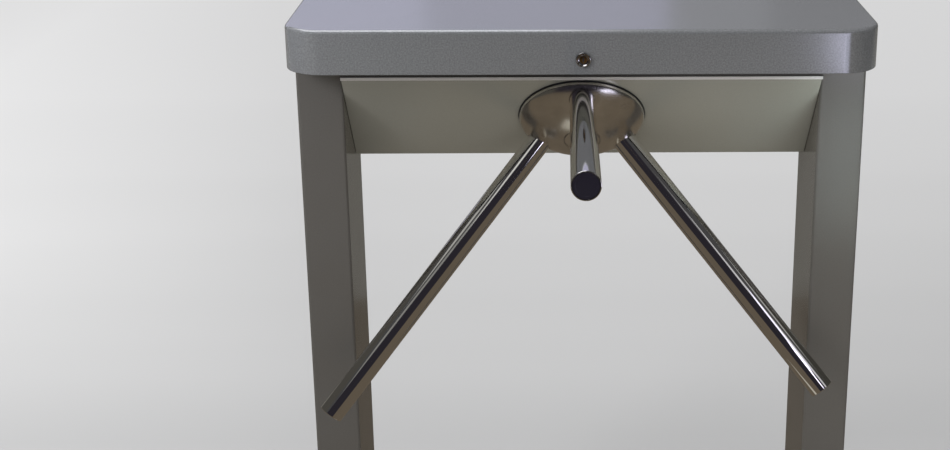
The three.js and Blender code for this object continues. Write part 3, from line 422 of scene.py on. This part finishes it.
def add_lid():
    """The shell from the middle of its underside, round the hem, to the middle of its top."""
    inner_edge = LID_EDGE - LID_WALL
    loops = [lid_loop(LID_EDGE + LID_INNER_RUN, LID_TOP - LID_WALL)]
    for angle in reversed(quarter(LID_INNER_STEPS)):
        inset = LID_WALL + inner_edge * (1 - math.cos(angle))
        loops.append(lid_loop(inset, LID_TOP - LID_WALL - inner_edge * (1 - math.sin(angle))))
    for angle in quarter(LID_HEM_STEPS):
        inset = LID_WALL - LID_HEM * (1 - math.cos(angle))
        loops.append(lid_loop(inset, LID_LOW + LID_HEM * (1 - math.sin(angle))))
    for angle in quarter(LID_HEM_STEPS):
        loops.append(lid_loop(LID_HEM * (1 - math.sin(angle)), LID_LOW + LID_HEM * (1 - math.cos(angle))))
    for angle in quarter(LID_EDGE_STEPS):
        loops.append(lid_loop(LID_EDGE * (1 - math.cos(angle)), LID_TOP - LID_EDGE * (1 - math.sin(angle))))
    loops.append(lid_loop(LID_EDGE + LID_OUTER_RUN, LID_TOP))
    bm = bmesh.new()
    skin(bm, loops, first_cap=True, last_cap=True)
    finish_mesh("lid_shell", bm, "lid_coat", "lid", ("lid",))


add_lid()


# Legs

LEG_HALF_X, LEG_HALF_Y, LEG_BEND, LEG_WALL = 0.030, 0.075, 0.0038, 0.002
LEG_LOW, LEG_HIGH, LEG_CENTRE_X, LEG_CENTRE_Y = 0.0083, 0.9975, 0.338, 0.202942
LEG_LIP, LEG_CREASE = 0.0004, 60
LEG_CORNER_STEPS, LEG_SIDE_STEPS, LEG_BANDS = 10, 3, (0.2, 0.4, 0.6, 0.8)


def add_leg(side, sign):
    """An open tube: up its outside, over the lip and down its inside."""
    def loop(inset, z):
        ring = rounded_ring(
            LEG_HALF_X - inset, LEG_HALF_Y - inset, LEG_BEND - inset, z, LEG_CORNER_STEPS, LEG_SIDE_STEPS,
        )
        return [point + Vector((sign * LEG_CENTRE_X, LEG_CENTRE_Y, 0)) for point in ring]

    rise = LEG_HIGH - LEG_LOW
    loops = [loop(LEG_LIP, LEG_LOW), loop(0, LEG_LOW + LEG_LIP)]
    loops += [loop(0, LEG_LOW + rise * share) for share in LEG_BANDS]
    loops += [loop(0, LEG_HIGH - LEG_LIP), loop(LEG_LIP, LEG_HIGH)]
    loops += [loop(LEG_WALL - LEG_LIP, LEG_HIGH), loop(LEG_WALL, LEG_HIGH - LEG_LIP)]
    loops += [loop(LEG_WALL, LEG_LOW + LEG_LIP), loop(LEG_WALL - LEG_LIP, LEG_LOW)]
    bm = bmesh.new()
    skin(bm, loops, round_trip=True)
    finish_mesh(f"{side}_leg_tube", bm, "leg_coat", "stand", (f"{side}_leg",), sharp=LEG_CREASE)


add_leg("left", -1)
add_leg("right", 1)


# Top bend of the front panel, in a lighter coat that is a painted highlight, and a dark strip under the lid
# that is a painted shadow of the gap between lid and panel

PANEL_HALF_X, PANEL_TOP_Y, PANEL_TOP_Z = 0.3075, 0.10394, 0.929
STRIP_BANDS = (0.0, 0.002, 0.25, 0.5, 0.75, 0.998, 1.0)
STRIP_STEPS = 4
BEND_SECTION = ((0.0020, -0.0026), (-0.0006, -0.0026), (-0.0006, -0.0066), (0.0056, -0.0070))
BEND_RADII = (0.0002, 0.0008, 0.0006, 0.0001)
# Section of the dark strip under the lid, a painted shadow of the gap
GAP_SHADOW_SECTION = ((-0.0002, 0.0044), (-0.0008, 0.0044), (-0.0008, -0.0024), (0.0018, -0.0024))
GAP_SHADOW_RADII = (0.0002, 0.0004, 0.0001, 0.0001)


def add_strip(name, section, radii, coat):
    """A rounded section, given as (Y, Z) points from the panel's top edge, run along X."""
    path = fillet([*section, section[0], section[1]], radii, STRIP_STEPS)[1:-1]
    loops = []
    for share in STRIP_BANDS:
        x = PANEL_HALF_X * (2 * share - 1)
        loops.append([Vector((x, PANEL_TOP_Y + y, PANEL_TOP_Z + z)) for y, z in path])
    bm = bmesh.new()
    skin(bm, loops, first_cap=True, last_cap=True)
    finish_mesh(name, bm, coat, "stand")


# The bend's lighter coat is a painted highlight
add_strip("panel_top_bend", BEND_SECTION, BEND_RADII, "bend_highlight_coat")
# A dark strip where the gap under the lid is in shade: painted shadow
add_strip("lid_gap_shadow_strip", GAP_SHADOW_SECTION, GAP_SHADOW_RADII, "painted_gap_shadow")


# Head's own frame: Z out along the rotor's axis, Y up the slope. Each arm and screw has a frame in it

HEAD_PLACE = Vector((0, 0.166393, 0.857411))
HEAD_OUT = Vector((0, -0.7535634, -0.6573752))
HEAD_UP = Vector((0, -0.6573752, 0.7535634))
HEAD = Matrix.Translation(HEAD_PLACE) @ Matrix((Vector((1, 0, 0)), HEAD_UP, HEAD_OUT)).transposed().to_4x4()
ARM_ANGLE = math.radians(45)
ARM_TURN = math.radians(0.57)
ARM_COUNT = 3
ARM_SPACING = 2 * math.pi / ARM_COUNT
ARM_APEX = Vector((0, 0, -0.047))
ARM_WAY = Vector((0, math.sin(ARM_ANGLE), math.cos(ARM_ANGLE)))
SCREW_ALONG = 0.078
SCREW_LIFT = math.radians(12)
SCREW_WAY = Vector((
    math.cos(SCREW_LIFT),
    -math.cos(ARM_ANGLE) * math.sin(SCREW_LIFT),
    math.sin(ARM_ANGLE) * math.sin(SCREW_LIFT),
))
SEAT_GAP = 0.0003


def turned_frame(index, place, way):
    aim = Vector((0, 0, 1)).rotation_difference(way).to_matrix().to_4x4()
    return Matrix.Rotation(ARM_TURN + index * ARM_SPACING, 4, "Z") @ Matrix.Translation(place) @ aim


def arm_frame(index):
    return turned_frame(index, ARM_APEX, ARM_WAY)


def screw_frame(index):
    return turned_frame(index, ARM_APEX + ARM_WAY * SCREW_ALONG, SCREW_WAY)


# Hub: casting with its sockets and screw holes, centre cap and seal ring

DOME_RADIUS, DOME_START, DOME_EDGE, DOME_HEIGHT, DOME_FLAT = 0.0828, 0.0017, 0.0036, 0.038, 0.65
RIM_BEND, RIM_STEPS, DOME_STEPS, HUB_SIDES, HUB_CREASE = 0.0012, 5, 40, 192, 28
BOSS_RADIUS, BOSS_END = 0.072, -0.018
CORE_BORE, CORE_FLOOR, CORE_RADIUS, CORE_END = 0.0123, -0.006, 0.021, -0.030
SOCKET_RADIUS, SOCKET_START, SOCKET_END, SOCKET_SIDES = 0.0165, 0.0617, 0.226, 96
SCREW_HOLE, SCREW_HOLE_START, SCREW_HOLE_END, SCREW_HOLE_SIDES = 0.0032, 0.008, 0.0495, 32
GROOVE_INNER, GROOVE_START, GROOVE_END, GROOVE_SIDES = 0.0029, 0.051, 0.115, 48
CAP_RADIUS, CAP_SINK, CAP_PROUD, CAP_SLACK, CAP_SIDES = 0.024, 0.004, 0.0008, 0.0005, 128
CAP_RADII, SEAL_RADII, ROUND_STEPS = (0.0002, 0.0012), (0.0003, 0.0003, 0.0007), 6
SEAL_INNER, SEAL_OUTER, SEAL_TOP = 0.076, 0.0839, 0.0013


def dome_profile(rim_top, seat):
    """The dome from its rim to the cap's seat, between a shallow ball and a fuller oval."""
    inner = math.acos(seat / DOME_RADIUS)
    rise = (DOME_HEIGHT - rim_top) / math.sin(inner)
    centre = (DOME_RADIUS ** 2 + rim_top ** 2 - seat ** 2 - DOME_HEIGHT ** 2) / (2 * (rim_top - DOME_HEIGHT))
    ball = math.hypot(DOME_RADIUS, rim_top - centre)
    profile = []
    for step in range(DOME_STEPS + 1):
        angle = inner * step / DOME_STEPS
        radius = DOME_RADIUS * math.cos(angle)
        flat = centre + math.sqrt(ball ** 2 - radius ** 2)
        profile.append((radius, DOME_FLAT * flat + (1 - DOME_FLAT) * (rim_top + rise * math.sin(angle))))
    return profile


def add_casting():
    seat, rim_top = CAP_RADIUS + SEAT_GAP, DOME_START + DOME_EDGE
    cap_floor = DOME_HEIGHT - CAP_SINK
    profile = [(0, CORE_FLOOR), (CORE_BORE, CORE_FLOOR), (CORE_BORE, CORE_END)]
    profile += [(CORE_RADIUS, CORE_END), (CORE_RADIUS, BOSS_END), (BOSS_RADIUS, BOSS_END)]
    profile.append((BOSS_RADIUS, DOME_START))
    rim = [(BOSS_RADIUS, DOME_START), (DOME_RADIUS, DOME_START), (DOME_RADIUS, rim_top)]
    profile += fillet(rim, [RIM_BEND], RIM_STEPS)[1:-1]
    profile += dome_profile(rim_top, seat)
    profile += [(seat, cap_floor), (0, cap_floor)]
    socket = [(0, SOCKET_START), (SOCKET_RADIUS, SOCKET_START), (SOCKET_RADIUS, SOCKET_END), (0, SOCKET_END)]
    hole = [(0, SCREW_HOLE_START), (SCREW_HOLE, SCREW_HOLE_START), (SCREW_HOLE, SCREW_HOLE_END)]
    hole.append((0, SCREW_HOLE_END))
    groove = [(GROOVE_INNER, GROOVE_START), (SCREW_HOLE, GROOVE_START)]
    groove += [(SCREW_HOLE, GROOVE_END), (GROOVE_INNER, GROOVE_END)]
    cutters = []
    for index in range(ARM_COUNT):
        cutters.append(lathe(socket, SOCKET_SIDES, place=arm_frame(index)))
        cutters.append(lathe(hole, SCREW_HOLE_SIDES, place=screw_frame(index)))
        cutters.append(lathe(groove, GROOVE_SIDES, closed=True, place=screw_frame(index)))
    casting = carve(lathe(profile, HUB_SIDES), cutters)
    finish_mesh("hub_casting", casting, "polished_steel", "rotor", ("hub",), place=HEAD, sharp=HUB_CREASE)


def add_cap_and_seal():
    side, low, top = CAP_RADIUS - CAP_SLACK, DOME_HEIGHT - CAP_SINK + SEAT_GAP, DOME_HEIGHT + CAP_PROUD
    cap = turned([(0, low), (side, low), (side, top), (0, top)], CAP_RADII, ROUND_STEPS, CAP_SIDES)
    finish_mesh("hub_centre_cap", cap, "polished_steel", "rotor", ("hub_cap",), place=HEAD)
    section = [
        (SEAL_INNER, SEAL_TOP), (SEAL_INNER, SEAT_GAP), (SEAL_OUTER, SEAT_GAP), (SEAL_OUTER, SEAL_TOP),
        (SEAL_INNER, SEAL_TOP),
    ]
    seal = turned(section, SEAL_RADII, ROUND_STEPS, HUB_SIDES, closed=True)
    finish_mesh("hub_seal_ring", seal, "black_rubber", "stand", ("hub_seal",), place=HEAD)


add_casting()
add_cap_and_seal()


# Arms, their end caps and their set screws

ARM_REACH = {"blocking": 0.530, "left": 0.547, "right": 0.515}
ARM_RADIUS, ARM_WALL, ARM_START, ARM_SEAM = 0.016, 0.0012, 0.062, 0.162
ARM_RADII = (0.0009, 0.0001, 0.0002, 0.0004)
TUBE_SHORT, TUBE_STEPS, TUBE_SIDES = 0.0004, 6, 96
PLUG_LENGTH, PLUG_DISC, PLUG_SHORT, DISH_SHORT = 0.018, 0.0025, 0.0008, 0.0011
DISH_OUTER, DISH_INNER = 0.0112, 0.0108
PLUG_RADII, PLUG_STEPS = (0.0006, 0.0005, 0.0002, 0.0002), 5
GRUB_RADIUS, GRUB_START, GRUB_END = 0.003, 0.0163, 0.033
GRUB_RADII, GRUB_STEPS, GRUB_SIDES = (0.0003, 0.0006), 4, 48
HEX_RADIUS, HEX_TIP, HEX_START, HEX_END, HEX_SIDES = 0.0017, 0.029, 0.0295, 0.036, 6


def add_arm(index, name, reach):
    place = HEAD @ arm_frame(index)
    bore, end = ARM_RADIUS - ARM_WALL, reach - TUBE_SHORT
    section = [
        (ARM_RADIUS, ARM_SEAM), (ARM_RADIUS, end), (bore, end), (bore, ARM_START), (ARM_RADIUS, ARM_START),
        (ARM_RADIUS, ARM_SEAM),
    ]
    tube = turned(section, ARM_RADII, TUBE_STEPS, TUBE_SIDES, closed=True)
    finish_mesh(f"{name}_arm_tube", tube, "polished_tube", "rotor", (f"{name}_arm",), place=place)

    side, inside = bore - SEAT_GAP, reach - PLUG_DISC - SEAT_GAP - PLUG_LENGTH
    section = [
        (0, inside), (side, inside), (side, reach - PLUG_SHORT), (DISH_OUTER, reach - PLUG_SHORT),
        (DISH_INNER, reach - DISH_SHORT), (0, reach - DISH_SHORT),
    ]
    plug = turned(section, PLUG_RADII, PLUG_STEPS, TUBE_SIDES)
    finish_mesh(f"{name}_arm_plug", plug, "black_plastic", "rotor", (f"{name}_arm_end_cap",), place=place)

    section = [(0, GRUB_START), (GRUB_RADIUS, GRUB_START), (GRUB_RADIUS, GRUB_END), (0, GRUB_END)]
    grub = turned(section, GRUB_RADII, GRUB_STEPS, GRUB_SIDES)
    key = lathe([(0, HEX_TIP), (HEX_RADIUS, HEX_START), (HEX_RADIUS, HEX_END), (0, HEX_END)], HEX_SIDES)
    finish_mesh(
        f"{name}_arm_grub_screw", carve(grub, [key]), "dark_screw", "rotor", (f"{name}_arm_set_screw",),
        place=HEAD @ screw_frame(index), sharp=CARVED_CREASE,
    )


for arm_index, (arm_name, arm_reach) in enumerate(ARM_REACH.items()):
    add_arm(arm_index, arm_name, arm_reach)


# Lock, in its own frame: Z out of the lid's front face

LOCK = Matrix.Translation((0, 0.047942, 0.963)) @ Matrix.Rotation(math.pi / 2, 4, "X")
BEZEL_SECTION = (
    (0.0054, -0.010), (0.0054, -0.018), (0.0076, -0.018), (0.0076, 0.0003), (0.0095, 0.0003),
    (0.0095, 0.0030), (0.0078, 0.0030), (0.0062, 0.0012), (0.0054, 0.0010), (0.0054, -0.010),
)
BEZEL_RADII = (0.0002, 0.0004, 0, 0.0002, 0.0011, 0.0004, 0.0003, 0.0001)
LOCK_CORE_SECTION = ((0, -0.0204), (0.005, -0.0204), (0.005, 0.0016), (0, 0.0022))
LOCK_CORE_RADII = (0.0002, 0.0006)
LOCK_STEPS, BEZEL_SIDES, LOCK_CORE_SIDES = 4, 64, 48
KEY_HALF_X, KEY_HALF_Y, KEY_CORNER, KEY_STEPS, KEY_HEIGHTS = 0.00075, 0.0031, 0.00035, 3, (-0.003, 0.006)


def add_lock():
    bezel = turned(BEZEL_SECTION, BEZEL_RADII, LOCK_STEPS, BEZEL_SIDES, closed=True)
    finish_mesh("lock_bezel", bezel, "lock_chrome", "lid", ("lock_body",), place=LOCK)
    core = turned(LOCK_CORE_SECTION, LOCK_CORE_RADII, LOCK_STEPS, LOCK_CORE_SIDES)
    slot = bmesh.new()
    ring = rounded_ring(KEY_HALF_X, KEY_HALF_Y, KEY_CORNER, 0, KEY_STEPS)
    skin(slot, [[p + Vector((0, 0, z)) for p in ring] for z in KEY_HEIGHTS], first_cap=True, last_cap=True)
    finish_mesh(
        "lock_core", carve(core, [slot]), "brass", "lock", ("lock_plug",), place=LOCK, sharp=CARVED_CREASE,
    )


add_lock()


# Stage: a pale floor, and cards that only the metal sees

FLOOR_REACH, FLOOR_SIDES, FLOOR_ROUGH, FLOOR_SPECULAR = 16, 64, 0.9, 0.1
# The floor's tones and fades are painted light: darker near, lighter far and towards the left
FLOOR_NEAR_TONE, FLOOR_FAR_TONE = (0.36, 0.36, 0.36), (0.83, 0.83, 0.825)
FLOOR_START, FLOOR_END = 0.9, 5.3
FLOOR_FADE = (
    (0, 0.03), (0.057, 0.12), (0.107, 0.17), (0.173, 0.225),
    (0.261, 0.32), (0.375, 0.44), (0.568, 0.625), (1, 0.83),
)
LEFT_ORIGIN_Y, LEFT_START, LEFT_END, LEFT_GAIN = 1.85, -0.18, -0.42, 0.42
LEFT_NEAR_Y, LEFT_FAR_Y, LEFT_NEAR_SHARE = 0.9, 2.0, 0.35
ROOM_X, ROOM_NEAR, ROOM_MIDDLE, ROOM_FAR, ROOM_HIGH = 4.0, -4.5, 1.6, 5.0, 3.6
FLOOR_CARD_Z, GLOW_CARD_Z, OVER_CARD_Z, CEILING_PANEL_Z = 0.001, 0.002, 3.5, 2.7
ROOM_WIDE = (-ROOM_X, ROOM_X)
PANE_Y, PANE_LEFT_LOW, PANE_RIGHT_LOW = 4.9, 1.42, 1.45
PANE_A, PANE_B, PANE_C = -0.6, 0.46, 0.9
TALL_CORNER = (0.474, -0.50)

# A level card has its name, X and Y ranges, height and colour. An upright one has its name, two points of
# the floor, lowest and highest height, and colour
FLOOR_CARDS = (
    ("card_floor_near", ROOM_WIDE, (ROOM_NEAR, ROOM_MIDDLE), FLOOR_CARD_Z, (0.117, 0.096, 0.071)),
    ("card_floor_far", ROOM_WIDE, (ROOM_MIDDLE, ROOM_FAR), FLOOR_CARD_Z, (0.20, 0.19, 0.168)),
    ("card_floor_glow", (-0.28, -0.04), (-0.33, -0.04), GLOW_CARD_Z, (0.45, 0.43, 0.37)),
    ("card_top", ROOM_WIDE, (ROOM_NEAR, ROOM_FAR), ROOM_HIGH, (0.06, 0.06, 0.062)),
)
WALL_CARDS = (
    ("card_near", (-ROOM_X, ROOM_NEAR), (ROOM_X, ROOM_NEAR), FLOOR_CARD_Z, ROOM_HIGH, (0.022, 0.020, 0.026)),
    ("card_left", (-ROOM_X, ROOM_NEAR), (-ROOM_X, ROOM_FAR), FLOOR_CARD_Z, ROOM_HIGH, (0.065, 0.062, 0.055)),
    ("card_right", (ROOM_X, ROOM_NEAR), (ROOM_X, ROOM_FAR), FLOOR_CARD_Z, ROOM_HIGH, (0.045, 0.043, 0.038)),
    ("card_far", (-ROOM_X, ROOM_FAR), (ROOM_X, ROOM_FAR), FLOOR_CARD_Z, ROOM_HIGH, (0.15, 0.148, 0.135)),
    ("card_pane_left", (-ROOM_X, PANE_Y), (PANE_A, PANE_Y), PANE_LEFT_LOW, ROOM_HIGH, (0.54, 0.535, 0.71)),
    ("card_pane", (PANE_A, PANE_Y), (PANE_B, PANE_Y), PANE_LEFT_LOW, ROOM_HIGH, (0.40, 0.395, 0.52)),
    (
        "card_pane_middle", (PANE_B, PANE_Y), (PANE_C, PANE_Y), PANE_RIGHT_LOW, ROOM_HIGH,
        (0.225, 0.225, 0.245),
    ),
    ("card_pane_right", (PANE_C, PANE_Y), (ROOM_X, PANE_Y), PANE_RIGHT_LOW, ROOM_HIGH, (0.15, 0.15, 0.16)),
    ("card_tall_near", (0.440, -0.68), TALL_CORNER, 0.765, 0.885, (2.2, 2.15, 2.68)),
    ("card_tall", TALL_CORNER, (0.512, -0.30), 0.79, 1.0, (1.25, 1.23, 1.54)),
)
CEILING_CARDS = (
    ("card_over", (-2.2, 0.06), (-0.8, 3.2), OVER_CARD_Z, (2.0, 2.0, 2.1)),
    ("panel_right_near", (1.40, 2.7), (-3.15, -2.05), CEILING_PANEL_Z, (0.58, 0.58, 0.60)),
    ("panel_right_end", (1.05, 1.40), (-2.9, -2.2), CEILING_PANEL_Z, (0.24, 0.24, 0.25)),
    ("panel_right_side", (2.6, 3.2), (-0.9, -0.15), CEILING_PANEL_Z, (0.36, 0.36, 0.35)),
    ("panel_right_middle", (1.70, 2.10), (-0.6, 0.0), CEILING_PANEL_Z, (0.30, 0.30, 0.28)),
    ("panel_left_near", (-1.25, -0.75), (-2.75, -1.75), CEILING_PANEL_Z, (0.66, 0.66, 0.64)),
    ("panel_left_corner", (-2.45, -1.25), (-3.0, -1.95), CEILING_PANEL_Z, (0.24, 0.24, 0.23)),
    ("panel_left_side", (-2.45, -1.75), (-1.25, -0.4), CEILING_PANEL_Z, (0.40, 0.40, 0.38)),
)


def stage_mesh(name, points, faces, material):
    mesh = bpy.data.meshes.new(name)
    mesh.from_pydata(points, [], faces)
    mesh.materials.append(material)
    obj = bpy.data.objects.new(name, mesh)
    scene.collection.objects.link(obj)
    return obj


def floor_material():
    """Pale paint with painted light: darker near, lighter with distance and towards the left, as the
    photograph's backdrop is.
    """
    material = bpy.data.materials.new("floor_paint")
    material.use_nodes = True
    tree = material.node_tree
    shader = tree.nodes["Principled BSDF"]
    shader.inputs["Roughness"].default_value = FLOOR_ROUGH
    shader.inputs["Specular IOR Level"].default_value = FLOOR_SPECULAR
    split = tree.nodes.new("ShaderNodeSeparateXYZ")
    tree.links.new(tree.nodes.new("ShaderNodeTexCoord").outputs["Object"], split.inputs["Vector"])
    across, away = split.outputs["X"], split.outputs["Y"]
    fade = tree.nodes.new("ShaderNodeValToRGB")
    fade.color_ramp.interpolation = "CARDINAL"
    stops = fade.color_ramp.elements
    while len(stops) < len(FLOOR_FADE):
        stops.new(0.5)
    for stop, (place, value) in zip(stops, FLOOR_FADE):
        stop.position = place
        stop.color = (value, value, value, 1)
    tree.links.new(map_range(tree, away, FLOOR_START, FLOOR_END), fade.inputs["Fac"])
    slant = combine(tree, "DIVIDE", across, combine(tree, "ADD", away, LEFT_ORIGIN_Y))
    side = map_range(tree, slant, LEFT_START, LEFT_END, 0, LEFT_GAIN)
    share = map_range(tree, away, LEFT_NEAR_Y, LEFT_FAR_Y, LEFT_NEAR_SHARE)
    left = combine(tree, "MULTIPLY", side, share)
    total = combine(tree, "ADD", fade.outputs["Color"], left, clamp=True)
    tree.links.new(mix_colors(tree, total, FLOOR_NEAR_TONE, FLOOR_FAR_TONE), shader.inputs["Base Color"])
    return material


def add_floor():
    turn = 2 * math.pi
    ring = [
        (FLOOR_REACH * math.cos(turn * i / FLOOR_SIDES), FLOOR_REACH * math.sin(turn * i / FLOOR_SIDES), 0)
        for i in range(FLOOR_SIDES)
    ]
    stage_mesh("floor", ring, [tuple(range(FLOOR_SIDES))], floor_material())


def add_card(name, corners, color):
    """A glowing card that is seen in reflections alone."""
    material = bpy.data.materials.new(name)
    material.use_nodes = True
    tree = material.node_tree
    tree.nodes.clear()
    shader = tree.nodes.new("ShaderNodeEmission")
    shader.inputs["Color"].default_value = (*color, 1)
    out = tree.nodes.new("ShaderNodeOutputMaterial")
    tree.links.new(shader.outputs["Emission"], out.inputs["Surface"])
    card = stage_mesh(name, corners, [(0, 1, 2, 3)], material)
    card.visible_camera = False
    card.visible_diffuse = False
    card.visible_shadow = False
    card.visible_transmission = False
    card.visible_volume_scatter = False


def add_wall(name, start, end, low, high, color):
    """An upright card between two points of the floor."""
    add_card(name, [(*start, low), (*end, low), (*end, high), (*start, high)], color)


def add_flat(name, across, away, height, color):
    """A level card over a range of X and Y."""
    (left, right), (near, far) = across, away
    corners = ((left, near), (right, near), (right, far), (left, far))
    add_card(name, [(*corner, height) for corner in corners], color)


def add_cards():
    """A dim room with a bright pane far behind, two tall lights by the right leg and ceiling panels."""
    for row in FLOOR_CARDS:
        add_flat(*row)
    for row in WALL_CARDS:
        add_wall(*row)
    for row in CEILING_CARDS:
        add_flat(*row)


# Soft lamps, each with its place, aim, size, radiance and colour

WORLD_COLOR, WORLD_STRENGTH = (0.78, 0.78, 0.79), 1.1
LAMPS = {
    "lamp_top": ((-0.3, 0.2, 3.4), (0, 0.2, 1.0), (2.4, 2.0), 3.8, (1, 1, 1)),
    "lamp_left": ((-1.7, -1.2, 2.1), (-0.2, 0.1, 0.9), (0.9, 0.7), 14.3, (1, 1, 1)),
    "lamp_corner": ((-0.66, -0.22, 1.14), (-0.35, 0.07, 0.97), (0.14, 0.14), 19.0, (0.97, 0.98, 1.07)),
    "lamp_low": ((-0.7, -1.5, 0.35), (-0.2, 0.15, 0.8), (0.5, 0.4), 1.2, (1, 1, 1)),
    "lamp_right": ((0.37, -0.52, 0.62), (0.34, 0.13, 0.70), (0.12, 0.5), 3.8, (1, 1, 1)),
    "lamp_post": ((0.355, 0.058, 0.82), (0.355, 0.20, 0.82), (0.06, 0.23), 3.3, (0.87, 1.03, 1.07)),
    "lamp_post_low": ((0.355, 0.058, 0.48), (0.355, 0.20, 0.48), (0.06, 0.44), 0.55, (0.97, 1.0, 1.0)),
    "lamp_panel": ((0.19, 0.058, 0.86), (0.19, 0.20, 0.86), (0.24, 0.12), 0.42, (0.96, 0.99, 1.05)),
}


def add_lamp(name, place, aim, size, radiance, color):
    data = bpy.data.lights.new(name, "AREA")
    data.shape = "RECTANGLE"
    data.size, data.size_y = size
    data.energy = radiance * math.pi * size[0] * size[1]
    data.color = color
    lamp = bpy.data.objects.new(name, data)
    scene.collection.objects.link(lamp)
    lamp.location = place
    lamp.rotation_mode = "QUATERNION"
    lamp.rotation_quaternion = (Vector(aim) - Vector(place)).to_track_quat("-Z", "Y")
    lamp.visible_camera = False
    lamp.visible_glossy = False


def add_world():
    world = bpy.data.worlds.new("world")
    world.use_nodes = True
    scene.world = world
    back = world.node_tree.nodes["Background"]
    back.inputs["Color"].default_value = (*WORLD_COLOR, 1)
    back.inputs["Strength"].default_value = WORLD_STRENGTH


add_floor()
add_cards()
add_world()
for lamp_name, settings in LAMPS.items():
    add_lamp(lamp_name, *settings)
